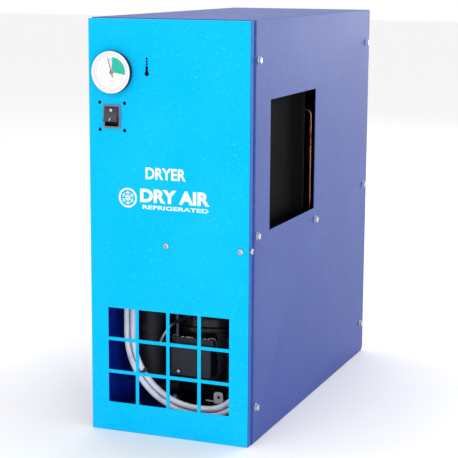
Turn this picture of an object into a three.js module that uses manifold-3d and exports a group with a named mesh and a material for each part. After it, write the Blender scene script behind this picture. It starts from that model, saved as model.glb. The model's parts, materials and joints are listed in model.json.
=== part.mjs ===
// Refrigerated air dryer: a tall, narrow sheet-metal cabinet with a hermetic refrigeration circuit,
// an insulated heat exchanger, a timed condensate drain and a mains lead stored behind the front grid.
// Millimetres, +Z up. The origin is on the floor at the centre of the base; the front faces -Y.
// Inside this file every place is measured from the front left bottom corner of the casing
// (x to the right, y to the rear, z up); the outermost group moves that corner to its place.

import * as THREE from "three";
import { mergeVertices } from "three/addons/utils/BufferGeometryUtils.js";
import Module from "manifold-3d";

// ---------------------------------------------------------------- driving dimensions
const CASE = { width: 233, depth: 535, height: 561 };
const SHEET = 1.2; // every folded sheet
const GAP = 0.3; // between parts that touch
const BEND = 2; // outside radius of a fold
const BEND_STEPS = 4; // straight pieces in a tube's bend
const PANEL = { inset: 2, drop: 1.2, flange: 12.7 }; // front panel inside the cover's outline
const COVER = { setback: 0.8, bottom: 4.5, lip: 10 }; // the cover starts behind the panel's flange
const FRAME = { depth: 25, leg: 10.5 }; // front portal of angle section
const SHELF = { z: 257, flange: 16, tongueInset: 13 };
const TRAY = { flange: 60, lip: 18 };
const REAR = { flange: 30 };
const GRID = { columns: 4, rows: 3, tall: 41, bar: 5, rail: 4.7, bottom: 40.6 };
const GRID_EDGE = { left: 28, right: 29.1 }; // from the panel's sides to the openings
const WINDOW = { front: 71, length: 191, bottom: 25, overlap: 26 }; // bottom: above the shelf
const GAUGE = { fromSide: 12.8, below: 70.4, radius: 26, lip: 2, proud: 10.1, depth: 20 };
const SWITCH = { x: 36.4, below: 128.9, width: 25, height: 31, rim: 1.7, depth: 18, wall: 2.7 };
const SWITCH_HOLES = { spacing: 36, radius: 2.4 };
const ROCKER = { pivot: 5, face: 11.5, dish: 9.1, half: 9.5, back: 6.5, tilt: 15 }; // seen from its pivot
const WIRING = { front: 48, depth: 26, width: 38, below: 36, above: 31, gland: 6 }; // box on the left wall
const SYMBOL = { x: 86.7, dot: 1.5, stem: 3.2, bulb: 3.1 }; // thermometer-shaped cut-out
const SCREW = { shank: 2.4, hole: 2.8, flange: 5.25, across: 8, head: 4.2, length: 8 };
const FRONT_SCREW = { radius: 4.15, head: 2.4, right: 14, fromCentre: 2.5, above: 6.8 };
const COMPRESSOR = { aside: 1.5, y: 185, halfWidth: 76, halfLength: 88, seam: 128, height: 192, wall: 3 };
const FOOT = { width: 96, length: 196, thickness: 3, z: 18, pitchX: 70, pitchY: 170 };
const GROMMET = { stud: 4, hole: 7, radius: 11 };
const MOTOR = { fromShell: 18, postFromShell: 38, post: 5, rotor: 30, air: 0.6, shaft: 9, running: 0.3 };
const TERMINAL = { width: 61, depth: 27, bottom: 68, height: 52.5, aside: 2.5, step: 9, shelf: 17 };
const CONDENSER = { front: 62, length: 214, fromRoof: 91.5, thickness: 44, fromWall: 21, above: 11 };
const FAN = { edge: 16, tip: 3, hub: 26, blade: 16, blades: 5, motor: 32, motorLength: 40 };
const FAN_MOUNT = { shaft: 3, strap: 10 };
const EXCHANGER = { width: 130, aside: 10, behind: 27.8, fromRear: 40, above: 28, fromRoof: 34.5 };
const SEPARATOR = { radius: 24, height: 108 };
const PORT = { radius: 12, bore: 8, across: 32, proud: 24, spacing: 84, below: 62 };
const PIPE = { aside: 15.5, y: 80, copper: 5, foam: 18.5, fromRoof: 167.5, inlet: 40, bend: 14 };
const TUBE = { copper: 3, bend: 10 };
const LEAD = { radius: 4 };
// The coil is set in from each wall, the tray and the shelf.
const COIL = { left: 41.5, right: 19, bottom: 30, top: 17, y: 41, band: 11, thickness: 18 };
const COIL_CORNERS = { bottomLeft: 100, bottomRight: 60, topRight: 60, topLeft: 80 };
const GRIP = { fromWall: 28, y: 60, flange: 11, length: 32 };
const PLUG = { fromWall: 33, front: 108, neck: 14, body: 38, radius: 17 };
const PIN = { radius: 2.4, length: 19, spacing: 19 };

// ---------------------------------------------------------------- derived places
const inner = SHEET + GAP; // a part that lies against the cover's inside
const coverFront = PANEL.flange + COVER.setback;
const frameFront = coverFront + SHEET + GAP;
const frameRear = frameFront + FRAME.depth;
const trayTop = SHEET + GAP; // what stands on the tray
const roof = CASE.height - SHEET - GAP; // what lies under the cover's top
const rearInside = CASE.depth - SHEET;
const gauge = { x: GAUGE.fromSide + GAUGE.radius, z: CASE.height - GAUGE.below };
const rocker = { x: SWITCH.x, z: CASE.height - SWITCH.below };
const windowBottom = SHELF.z + WINDOW.bottom;
const condenser = {
  right: CASE.width - CONDENSER.fromWall,
  bottom: SHELF.z + CONDENSER.above,
  rear: CONDENSER.front + CONDENSER.length,
  top: roof - CONDENSER.fromRoof,
};
condenser.left = condenser.right - CONDENSER.thickness;
const condenserHeight = condenser.top - condenser.bottom;
const fanRadius = Math.min(condenserHeight, CONDENSER.length) / 2 - FAN.edge;
const shroudLeft = condenser.left - GAP - SHEET;
const fan = {
  x: shroudLeft - FAN.tip - FAN.blade,
  y: CONDENSER.front + CONDENSER.length / 2,
  z: condenser.bottom + condenserHeight / 2,
};
const motorRight = fan.x - 3;
const exchanger = {
  left: (CASE.width - EXCHANGER.width) / 2 - EXCHANGER.aside,
  front: condenser.rear + EXCHANGER.behind,
  rear: rearInside - EXCHANGER.fromRear,
  bottom: SHELF.z + EXCHANGER.above,
  top: roof - EXCHANGER.fromRoof,
};
const pipeX = exchanger.left + PIPE.aside;
const pipeTop = roof - PIPE.fromRoof;
const portZ = CASE.height - PORT.below;
const drain = {
  x: exchanger.left + EXCHANGER.width * 0.523,
  y: exchanger.front + (exchanger.rear - exchanger.front) * 0.579,
};
const separatorBottom = exchanger.bottom - GAP - SEPARATOR.height;
const seamFlange = 3;
const stator = COMPRESSOR.halfWidth - MOTOR.fromShell;
const compressorX = CASE.width / 2 + COMPRESSOR.aside;
const shellFront = COMPRESSOR.y - COMPRESSOR.halfLength * (1 + seamFlange / COMPRESSOR.halfWidth);
const shellRear = COMPRESSOR.y + COMPRESSOR.halfLength;
const gas = { x: condenser.right + 6, y: condenser.rear + 13, top: condenser.top - 45 };
const drier = { x: condenser.left + 22, y: condenser.rear + 14, radius: 10, top: 240, length: 90 };
const valve = { top: separatorBottom - GAP, height: 34 };
valve.bottom = valve.top - valve.height;
const timer = { size: 38, height: 44, knob: 5, knobAside: 9, button: 4 };
timer.bottom = valve.bottom - timer.height;
const wiring = {
  left: inner,
  bottom: rocker.z - WIRING.below,
  top: rocker.z + WIRING.above,
};
const coil = {
  left: COIL.left,
  right: CASE.width - COIL.right,
  bottom: COIL.bottom,
  top: SHELF.z - COIL.top,
};
const gripX = CASE.width - GRIP.fromWall;
const plugX = CASE.width - PLUG.fromWall;

// Where the hex-flange screws sit on the right side, as y and z; the left side has the same holes.
const screwRear = CASE.depth - 18.5;
const screwTop = CASE.height - 51;
const SIDE_SCREWS = {
  cover_screw_front_top: [22.5, screwTop],
  cover_screw_front_middle: [22.5, SHELF.z + 25],
  cover_screw_front_bottom: [22.5, 50],
  cover_screw_rear_top: [screwRear, screwTop],
  cover_screw_rear_middle: [screwRear, SHELF.z + 25],
  cover_screw_rear_bottom: [screwRear, 50],
  cover_screw_shelf: [CASE.depth / 2, SHELF.z + 7.6],
};
const TOP_SCREWS = [22.5, CASE.depth - 15];

// The mains lead's free stretches, chosen by hand and measured in from the right wall:
// down from the cord grip (from the shelf) into the coil, and from the coil back to the plug.
const LEAD_DROP = [
  [28, 60, 32.5],
  [28, 60, 52],
  [27.5, 59.5, 69],
  [26, 58.5, 85],
  [24, 57, 99],
  [22, 55.2, 111],
].map(([inward, y, down]) => [CASE.width - inward, y, SHELF.z - down]);
const LEAD_TAIL = [
  [22, 55.4, 92],
  [23, 60, 74],
  [26, 67, 54],
  [29.5, 76, 36],
  [32, 87, 24],
  [33, 98, 19],
  [33, 107.5, 18.5],
].map(([inward, y, z]) => [CASE.width - inward, y, z]);

// ---------------------------------------------------------------- solids
const wasm = await Module();
wasm.setup();

function solid(geometry) {
  const bare = geometry.clone();
  bare.deleteAttribute("normal");
  bare.deleteAttribute("uv");
  const merged = mergeVertices(bare, 1e-4);
  const made = new wasm.Manifold(
    new wasm.Mesh({
      numProp: 3,
      vertProperties: new Float32Array(merged.attributes.position.array),
      triVerts: new Uint32Array(merged.index.array),
    }),
  );
  return made;
}

function geometryOf(manifold) {
  const mesh = manifold.getMesh();
  const made = new THREE.BufferGeometry();
  made.setAttribute("position", new THREE.BufferAttribute(mesh.vertProperties, 3));
  made.setIndex(new THREE.BufferAttribute(mesh.triVerts, 1));
  return made;
}

const join = (...parts) => parts.reduce((whole, part) => whole.add(part));
const cut = (whole, tools) => tools.reduce((left, tool) => left.subtract(tool), whole);

// A block between two corners.
function block(x0, y0, z0, x1, y1, z1) {
  const made = new THREE.BoxGeometry(x1 - x0, y1 - y0, z1 - z0);
  made.translate((x0 + x1) / 2, (y0 + y1) / 2, (z0 + z1) / 2);
  return solid(made);
}

// Turns geometry made along +Z so that it points along the named axis.
function turned(geometry, axis) {
  if (axis === "x") geometry.rotateY(Math.PI / 2);
  if (axis === "-x") geometry.rotateY(-Math.PI / 2);
  if (axis === "y") geometry.rotateX(-Math.PI / 2);
  if (axis === "-y") geometry.rotateX(Math.PI / 2);
  if (axis === "-z") geometry.rotateX(Math.PI);
  return geometry;
}

// A round bar that starts at a point and runs along an axis.
function bar(radius, length, axis, x, y, z, sides = 16) {
  const made = new THREE.CylinderGeometry(radius, radius, length, sides);
  made.rotateX(Math.PI / 2).translate(0, 0, length / 2);
  return solid(turned(made, axis).translate(x, y, z));
}

// A turned piece: the profile is [radius, distance along the axis] pairs that start and end on the
// axis, or close on themselves.
function turnedPiece(profile, axis, x, y, z, sides = 20, stretch = 1) {
  const points = profile.map(([radius, along]) => new THREE.Vector2(radius, along));
  const made = new THREE.LatheGeometry(points, sides);
  made.rotateX(Math.PI / 2).scale(1, stretch, 1);
  const placed = turned(made, axis).translate(x, y, z);
  const piece = solid(placed);
  if (piece.volume() > 0) return piece;
  return solid(reversed(placed));
}

function reversed(geometry) {
  const index = geometry.index.array;
  for (let i = 0; i < index.length; i += 3) {
    const first = index[i];
    index[i] = index[i + 1];
    index[i + 1] = first;
  }
  return geometry;
}

const closed = (profile) => [...profile, profile[0]];

// A rectangle with a radius at each corner, named from bottomLeft round to topLeft.
function roundedShape(x0, y0, x1, y1, radii) {
  const { bottomLeft = 0, bottomRight = 0, topRight = 0, topLeft = 0 } = radii;
  const shape = new THREE.Shape();
  shape.moveTo(x0 + bottomLeft, y0);
  shape.lineTo(x1 - bottomRight, y0);
  if (bottomRight) shape.absarc(x1 - bottomRight, y0 + bottomRight, bottomRight, -Math.PI / 2, 0);
  shape.lineTo(x1, y1 - topRight);
  if (topRight) shape.absarc(x1 - topRight, y1 - topRight, topRight, 0, Math.PI / 2);
  shape.lineTo(x0 + topLeft, y1);
  if (topLeft) shape.absarc(x0 + topLeft, y1 - topLeft, topLeft, Math.PI / 2, Math.PI);
  shape.lineTo(x0, y0 + bottomLeft);
  if (bottomLeft) shape.absarc(x0 + bottomLeft, y0 + bottomLeft, bottomLeft, Math.PI, 1.5 * Math.PI);
  return shape;
}

const X = new THREE.Vector3(1, 0, 0);
const Y = new THREE.Vector3(0, 1, 0);
const Z = new THREE.Vector3(0, 0, 1);

// An outline pushed along an axis: "z" takes it as x and y, "y" as x and z, "x" as y and z.
function pushed(shape, from, to, axis, arcs = 3) {
  const settings = { depth: to - from, bevelEnabled: false, curveSegments: arcs, steps: 1 };
  const made = new THREE.ExtrudeGeometry(shape, settings);
  made.translate(0, 0, from);
  if (axis === "y") made.applyMatrix4(new THREE.Matrix4().makeBasis(X, Z, Y));
  if (axis === "x") made.applyMatrix4(new THREE.Matrix4().makeBasis(Y, Z, X));
  const merged = mergeVertices(made.deleteAttribute("normal").deleteAttribute("uv"), 1e-4);
  return solid(axis === "y" ? reversed(merged) : merged);
}

// A tube whose centre follows straight runs between points, with the same bend at every corner.
function bentTube(points, radius, bend, sides) {
  const corners = points.map((point) => new THREE.Vector3(...point));
  const path = [corners[0]];
  for (let i = 1; i < corners.length - 1; i++) {
    const entry = toward(corners[i], corners[i - 1], bend);
    const exit = toward(corners[i], corners[i + 1], bend);
    path.push(...new THREE.QuadraticBezierCurve3(entry, corners[i], exit).getPoints(BEND_STEPS));
  }
  path.push(corners.at(-1));
  return sweptTube(path, radius, sides);
}

const toward = (from, to, distance) => to.clone().sub(from).setLength(distance).add(from);

// A tube along a smooth curve through points.
function freeTube(points, radius, sides, steps) {
  const curve = new THREE.CatmullRomCurve3(points.map((point) => new THREE.Vector3(...point)));
  return sweptTube(curve.getPoints(steps), radius, sides);
}

// A tube with one ring of vertices at each point and flat ends.
function sweptTube(points, radius, sides) {
  const vertices = [];
  const across = new THREE.Vector3(0.3, 0.5, 0.8);
  points.forEach((point, i) => {
    const before = points[Math.max(i - 1, 0)];
    const after = points[Math.min(i + 1, points.length - 1)];
    const arriving = point.clone().sub(before).normalize();
    const along = after.clone().sub(point).normalize().add(arriving).normalize();
    across.addScaledVector(along, -across.dot(along)).normalize();
    const third = along.clone().cross(across);
    for (let k = 0; k < sides; k++) {
      const angle = (2 * Math.PI * k) / sides;
      const spot = point.clone().addScaledVector(across, radius * Math.cos(angle));
      vertices.push(...spot.addScaledVector(third, radius * Math.sin(angle)));
    }
  });
  const tube = new THREE.BufferGeometry();
  tube.setAttribute("position", new THREE.Float32BufferAttribute(vertices, 3));
  tube.setIndex(tubeFaces(points.length, sides));
  return solid(tube);
}

function tubeFaces(rings, sides) {
  const faces = [];
  for (let ring = 0; ring < rings - 1; ring++) {
    for (let k = 0; k < sides; k++) {
      const a = ring * sides + k;
      const b = ring * sides + ((k + 1) % sides);
      faces.push(a, b, b + sides, a, b + sides, a + sides);
    }
  }
  const end = (rings - 1) * sides;
  for (let k = 1; k < sides - 1; k++) faces.push(0, k + 1, k, end, end + k, end + k + 1);
  return faces;
}

// A hexagonal bar, with the distance across its flats.
const hexBar = (across, length, axis, x, y, z) => bar(across / Math.sqrt(3), length, axis, x, y, z, 6);

// ---------------------------------------------------------------- materials and nodes
const PAINTS = {
  frontBlue: { color: 0x04b4ec, roughness: 0.5, metalness: 0 },
  coverBlue: { color: 0x24479c, roughness: 0.5, metalness: 0 },
  zinc: { color: 0xb9bec4, roughness: 0.35, metalness: 0.9 },
  steel: { color: 0x8d9196, roughness: 0.4, metalness: 0.9 },
  blackShell: { color: 0x0b0b0d, roughness: 0.25, metalness: 0.1 },
  blackPlastic: { color: 0x17181b, roughness: 0.5, metalness: 0 },
  foam: { color: 0x141414, roughness: 0.95, metalness: 0 },
  rubber: { color: 0x0e0e0e, roughness: 0.85, metalness: 0 },
  copper: { color: 0xb2643c, roughness: 0.35, metalness: 1 },
  brass: { color: 0xb5904a, roughness: 0.35, metalness: 1 },
  fins: { color: 0x0d0d0e, roughness: 0.6, metalness: 0.3 },
  dial: { color: 0xf2f2ee, roughness: 0.6, metalness: 0 },
  lens: { color: 0xf4fbff, roughness: 0.05, metalness: 0 },
  needle: { color: 0x8a8f94, roughness: 0.4, metalness: 0.6 },
  knob: { color: 0xd8d8d2, roughness: 0.5, metalness: 0 },
  lead: { color: 0xc9cbd0, roughness: 0.55, metalness: 0 },
  hose: { color: 0xdfe6ea, roughness: 0.35, metalness: 0 },
};
const materials = Object.fromEntries(
  Object.entries(PAINTS).map(([name, look]) => [name, new THREE.MeshStandardMaterial(look)]),
);

const dryer = new THREE.Group();
const fromCorner = new THREE.Group();
fromCorner.position.set(-CASE.width / 2, -CASE.depth / 2, 0);
dryer.add(fromCorner);

function node(group, name, manifold, paint) {
  const mesh = new THREE.Mesh(geometryOf(manifold), materials[paint]);
  mesh.name = name;
  group.add(mesh);
}

function section(build) {
  const group = new THREE.Group();
  build(group);
  fromCorner.add(group);
}

// ---------------------------------------------------------------- casing
function gridHoles() {
  const tools = [];
  const clear = CASE.width - GRID_EDGE.left - GRID_EDGE.right + GRID.bar;
  const wide = clear / GRID.columns - GRID.bar;
  for (let column = 0; column < GRID.columns; column++) {
    for (let row = 0; row < GRID.rows; row++) {
      const x = GRID_EDGE.left + column * (wide + GRID.bar);
      const z = GRID.bottom + row * (GRID.tall + GRID.rail);
      tools.push(block(x, -1, z, x + wide, PANEL.flange / 2, z + GRID.tall));
    }
  }
  return tools;
}

// Three dots, a stem and a bulb, level with the gauge.
function symbolHoles() {
  const hole = (radius, above) => bar(radius, 4, "y", SYMBOL.x, -1, gauge.z + above, 12);
  const half = SYMBOL.stem / 2;
  const stem = block(SYMBOL.x - half, -1, gauge.z - 1, SYMBOL.x + half, 3, gauge.z + 9);
  const dots = [11.5, 15.1, 18.7].map((above) => hole(SYMBOL.dot, above));
  return [join(stem, hole(SYMBOL.bulb, -1)), ...dots];
}

function switchHoles() {
  const halfWidth = SWITCH.width / 2 - inner;
  const halfHeight = SWITCH.height / 2 - inner;
  const tools = [
    block(rocker.x - halfWidth, -1, rocker.z - halfHeight, rocker.x + halfWidth, 3, rocker.z + halfHeight),
  ];
  const half = SWITCH_HOLES.spacing / 2;
  for (const x of [rocker.x - half, rocker.x + half]) {
    for (const z of [rocker.z - half, rocker.z + half]) {
      tools.push(bar(SWITCH_HOLES.radius, 4, "y", x, -1, z, 10));
    }
  }
  return tools;
}

const frontScrewXs = [CASE.width / 2 - FRONT_SCREW.fromCentre, CASE.width - FRONT_SCREW.right];
const frontScrewZ = SHELF.z + FRONT_SCREW.above;
const flangeScrewY = 8;

function frontScrewHoles() {
  const tools = frontScrewXs.map((x) => bar(SCREW.hole, 6, "y", x, -1, frontScrewZ, 10));
  tools.push(bar(SCREW.hole, 8, "x", CASE.width - PANEL.inset - 6, flangeScrewY, frontScrewZ, 10));
  return tools;
}

// Both sides' cover screws, as tools that reach from outside the cover into the frame behind it.
function sideScrewHoles() {
  const tools = [];
  for (const [y, z] of Object.values(SIDE_SCREWS)) {
    tools.push(bar(SCREW.hole, 6, "x", -1, y, z, 8));
    tools.push(bar(SCREW.hole, 6, "x", CASE.width - 5, y, z, 8));
  }
  return tools;
}

const topScrewHoles = () =>
  TOP_SCREWS.map((y) => bar(SCREW.hole, 6, "z", CASE.width / 2, y, CASE.height - 5, 8));

// A face with its four edges folded back, the folds rounded.
function frontPanel(group) {
  const x0 = PANEL.inset;
  const x1 = CASE.width - PANEL.inset;
  const top = CASE.height - PANEL.drop;
  const sideFolds = roundedShape(x0, 0, x1, PANEL.flange, { bottomLeft: BEND, bottomRight: BEND });
  const topFolds = roundedShape(0, 0, PANEL.flange, top, { bottomLeft: BEND, topLeft: BEND });
  const outside = pushed(sideFolds, 0, top, "z").intersect(pushed(topFolds, x0, x1, "x"));
  const hollow = block(x0 + SHEET, SHEET, SHEET, x1 - SHEET, PANEL.flange + 1, top - SHEET);
  const gaugeHole = bar(GAUGE.radius + GAP, 4, "y", gauge.x, -1, gauge.z, 32);
  const holes = [gaugeHole, ...gridHoles(), ...symbolHoles(), ...switchHoles(), ...frontScrewHoles()];
  node(group, "front_panel", cut(outside, [hollow, ...holes]), "frontBlue");
}

// Left side, top and right side in one sheet, with a narrow lip turned in at the front.
function wrapCover(group) {
  const side = { topLeft: BEND, topRight: BEND };
  const outline = roundedShape(0, COVER.bottom, CASE.width, CASE.height, side);
  const plan = roundedShape(0, coverFront, CASE.width, CASE.depth, { bottomLeft: BEND, bottomRight: BEND });
  const profile = roundedShape(coverFront, COVER.bottom, CASE.depth, CASE.height, { topLeft: BEND });
  const outside = pushed(outline, coverFront, CASE.depth, "y")
    .intersect(pushed(plan, 0, CASE.height, "z"))
    .intersect(pushed(profile, 0, CASE.width, "x"));
  const right = CASE.width - SHEET;
  const hollow = block(SHEET, coverFront + SHEET, 0, right, CASE.depth + 1, CASE.height - SHEET);
  const mouth = block(COVER.lip, 0, 0, CASE.width - COVER.lip, coverFront + 5, CASE.height - COVER.lip);
  const tools = [hollow, mouth, coverWindow(), ...exhaustHoles(), ...sideScrewHoles(), ...topScrewHoles()];
  node(group, "wrap_cover", cut(outside, tools), "coverBlue");
}

const coverWindow = () =>
  block(
    CASE.width - 5,
    WINDOW.front,
    windowBottom,
    CASE.width + 1,
    WINDOW.front + WINDOW.length,
    windowBottom + condenserHeight - WINDOW.overlap,
  );

// The left side's air outlet, behind the fan: square openings like the front grid's.
function exhaustHoles() {
  const tools = [];
  const pitch = GRID.tall + GRID.bar;
  const count = Math.floor(condenserHeight / pitch);
  const half = (count * pitch - GRID.bar) / 2;
  for (let column = 0; column < count; column++) {
    for (let row = 0; row < count; row++) {
      const y = fan.y - half + column * pitch;
      const z = fan.z - half + row * pitch;
      tools.push(block(-1, y, z, 5, y + GRID.tall, z + GRID.tall));
    }
  }
  return tools;
}

// A portal of angle section behind the cover's lip, which the cover screws onto.
function frontFrame(group) {
  const right = CASE.width - inner;
  const outside = block(inner, frameFront, trayTop, right, frameRear, roof);
  const hollow = block(inner + SHEET, frameFront + SHEET, 0, right - SHEET, frameRear + 1, roof - SHEET);
  const mouth = block(inner + FRAME.leg, 0, 0, right - FRAME.leg, frameRear, roof - FRAME.leg);
  const tools = [hollow, mouth, ...sideScrewHoles(), ...topScrewHoles()];
  node(group, "front_frame", cut(outside, tools), "zinc");
}

function baseTray(group) {
  const right = CASE.width - inner;
  const front = PANEL.flange + GAP;
  const rear = rearInside - GAP;
  const flangeFront = frameRear + GAP;
  const flangeRear = CASE.depth - REAR.flange - GAP;
  const floor = block(inner, front, 0, right, CASE.depth, SHEET);
  const left = block(inner, flangeFront, 0, inner + SHEET, flangeRear, TRAY.flange);
  const far = block(right - SHEET, flangeFront, 0, right, flangeRear, TRAY.flange);
  const lip = block(SHELF.tongueInset, front, 0, CASE.width - SHELF.tongueInset, front + SHEET, TRAY.lip);
  const back = block(SHELF.tongueInset, rear - SHEET, 0, CASE.width - SHELF.tongueInset, rear, TRAY.lip);
  node(group, "base_tray", join(floor, left, far, lip, back), "coverBlue");
}

// The shelf between the two compartments: its tongue reaches the panel, where two screws hold it.
function midShelf(group) {
  const right = CASE.width - inner;
  const front = frameRear + GAP;
  const rear = CASE.depth - REAR.flange - GAP;
  const top = SHELF.z + SHELF.flange;
  const panelInside = SHEET + GAP;
  const tabX = CASE.width - PANEL.inset - SHEET - GAP;
  const plate = block(inner, front, SHELF.z, right, rear, SHELF.z + SHEET);
  const tongueRight = CASE.width - SHELF.tongueInset;
  const tongue = block(SHELF.tongueInset, panelInside, SHELF.z, tongueRight, front + 1, SHELF.z + SHEET);
  const apron = block(CASE.width - tabX, panelInside, SHELF.z, tabX, panelInside + SHEET, top);
  const tab = block(tabX - SHEET, panelInside, SHELF.z, tabX, PANEL.flange, top);
  const leftFlange = block(inner, front, SHELF.z, inner + SHEET, rear, top);
  const rightFlange = block(right - SHEET, front, SHELF.z, right, rear, top);
  const holes = [
    bar(PIPE.foam + 1.5, 4, "z", pipeX, PIPE.y, SHELF.z - 1, 16),
    bar(SEPARATOR.radius + 1.5, 4, "z", drain.x, drain.y, SHELF.z - 1, 20),
    bar(TUBE.copper + 2, 4, "z", gas.x, gas.y, SHELF.z - 1, 10),
    bar(TUBE.copper + 2, 4, "z", drier.x, drier.y, SHELF.z - 1, 10),
    bar(LEAD.radius + 2, 4, "z", gripX, GRIP.y, SHELF.z - 1, 10),
    ...frontScrewHoles(),
    ...sideScrewHoles(),
  ];
  node(group, "mid_shelf", cut(join(plate, tongue, apron, tab, leftFlange, rightFlange), holes), "zinc");
}

const portXs = [CASE.width / 2 - PORT.spacing / 2, CASE.width / 2 + PORT.spacing / 2];
const drainOutlet = { z: 62, hole: 8.3 };
const leadExit = { x: CASE.width - 50, z: 45 };

function rearPanel(group) {
  const right = CASE.width - inner;
  const front = CASE.depth - REAR.flange;
  const outside = block(inner, front, trayTop, right, CASE.depth, roof);
  const hollow = block(inner + SHEET, front - 1, 0, right - SHEET, rearInside, roof - SHEET);
  const ports = portXs.map((x) => bar(PORT.radius + 1, 6, "y", x, rearInside - 2, portZ, 20));
  const outlet = bar(drainOutlet.hole, 6, "y", drain.x, rearInside - 2, drainOutlet.z, 12);
  const exit = bar(9, 6, "y", leadExit.x, rearInside - 2, leadExit.z, 12);
  const tools = [hollow, ...ports, outlet, exit, ...rearVents(), ...sideScrewHoles(), ...topScrewHoles()];
  node(group, "rear_panel", cut(outside, tools), "coverBlue");
}

// Upright slots that let warm air out of the lower compartment.
function rearVents() {
  const tools = [];
  for (let i = 0; i < 5; i++) {
    const x = CASE.width / 2 - 54 + i * 27;
    tools.push(block(x - 3, rearInside - 1, SHELF.z - 90, x + 3, CASE.depth + 1, SHELF.z - 30));
  }
  return tools;
}

// ---------------------------------------------------------------- dial thermometer
const lensFront = -GAUGE.proud + SHEET + GAP;
const lensRear = lensFront + 0.8;
const caseFront = lensRear + GAP;
const dialFront = -5.5;
const needleTurn = THREE.MathUtils.degToRad(15);

function dialThermometer(group) {
  const { x, z } = gauge;
  const r = GAUGE.radius;
  const seat = -GAP - 1.4;
  const cup = [
    [0, GAUGE.depth],
    [r - 8, GAUGE.depth],
    [r, 14],
    [r, -GAP],
    [r + 1.6, -GAP],
    [r + 1.6, seat],
    [r, seat],
    [r, caseFront],
    [r - 1.6, caseFront],
    [r - 1.6, 10],
    [0, 10],
  ];
  node(group, "gauge_case", turnedPiece(cup, "y", x, 0, z, 24), "blackPlastic");
  const ring = closed([
    [(GAUGE.radius + GAUGE.lip), seat - GAP],
    [(GAUGE.radius + GAUGE.lip), -GAUGE.proud + 0.8],
    [(GAUGE.radius + GAUGE.lip) - 0.8, -GAUGE.proud],
    [r - 1.6, -GAUGE.proud],
    [r - 1.6, lensFront - GAP],
    [r + GAP, lensFront - GAP],
    [r + GAP, seat - GAP],
  ]);
  node(group, "gauge_bezel", turnedPiece(ring, "y", x, 0, z, 24), "steel");
  node(group, "gauge_lens", bar(r, 0.8, "y", x, lensFront, z, 24), "lens");
  const card = bar(r - 1.6 - GAP, 0.8, "y", x, dialFront, z, 24);
  node(group, "gauge_dial", card.subtract(bar(1.3, 4, "y", x, dialFront - 1, z, 12)), "dial");
  node(group, "gauge_needle", gaugeNeedle(x, z), "needle");
}

// Pointer, hub and spindle; the spindle runs through the dial into the case.
function gaugeNeedle(x, z) {
  const front = dialFront - 1.5;
  const outline = new THREE.Shape();
  outline.moveTo(-0.5, 19);
  outline.lineTo(0.5, 19);
  outline.lineTo(1.4, -6.5);
  outline.lineTo(-1.4, -6.5);
  const pointer = pushed(outline, front, front + 0.6, "y");
  const hub = bar(2.9, 0.9, "y", 0, front - 0.2, 0, 12);
  const spindle = bar(1.2, 10 - GAP - front, "y", 0, front, 0, 12);
  const made = geometryOf(join(pointer, hub, spindle));
  return solid(made.rotateY(-needleTurn).translate(x, 0, z));
}

// ---------------------------------------------------------------- rocker switch
function rockerSwitch(group) {
  const { x, z } = rocker;
  const halfWidth = SWITCH.width / 2;
  const halfHeight = SWITCH.height / 2;
  const rimFront = -GAP - SWITCH.rim;
  const { wall } = SWITCH;
  const rim = block(x - halfWidth, rimFront, z - halfHeight, x + halfWidth, -GAP, z + halfHeight);
  const bodyWidth = halfWidth - inner - GAP;
  const bodyHeight = halfHeight - inner - GAP;
  const body = block(x - bodyWidth, -GAP - 0.5, z - bodyHeight, x + bodyWidth, SWITCH.depth, z + bodyHeight);
  const well = block(
    x - halfWidth + wall,
    rimFront - 1,
    z - halfHeight + wall,
    x + halfWidth - wall,
    SWITCH.depth - 5,
    z + halfHeight - wall,
  );
  node(group, "switch_frame", cut(join(rim, body), [well]), "blackPlastic");
  node(group, "switch_rocker", switchRocker(x, z, halfWidth - wall - GAP), "rubber");
  node(group, "wiring_box", wiringBox(), "blackPlastic");
}

// A dished rocker whose upper end is pressed in at rest and whose lower end stands out.
function switchRocker(x, z, halfWidth) {
  const { face, dish, half, back } = ROCKER;
  const outline = new THREE.Shape();
  outline.moveTo(-face, -half);
  outline.quadraticCurveTo(-dish, 0, -face, half);
  outline.lineTo(-face / 2, half);
  outline.lineTo(back, half / 2.5);
  outline.lineTo(back, -half / 2.5);
  outline.lineTo(-face / 2, -half);
  const made = geometryOf(pushed(outline, -halfWidth, halfWidth, "x", 4));
  return solid(made.rotateX(THREE.MathUtils.degToRad(-ROCKER.tilt)).translate(x, ROCKER.pivot, z));
}

// The box behind the switch where the wires meet, with two cable glands below.
function wiringBox() {
  const right = wiring.left + WIRING.width;
  const rear = WIRING.front + WIRING.depth;
  const box = block(wiring.left, WIRING.front, wiring.bottom, right, rear, wiring.top);
  const glands = [1 / 3, 2 / 3].map((part) => {
    const x = wiring.left + WIRING.width * part;
    return bar(WIRING.gland, 9, "z", x, WIRING.front + WIRING.depth / 2, wiring.bottom - 8, 12);
  });
  return join(box, ...glands);
}

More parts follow.
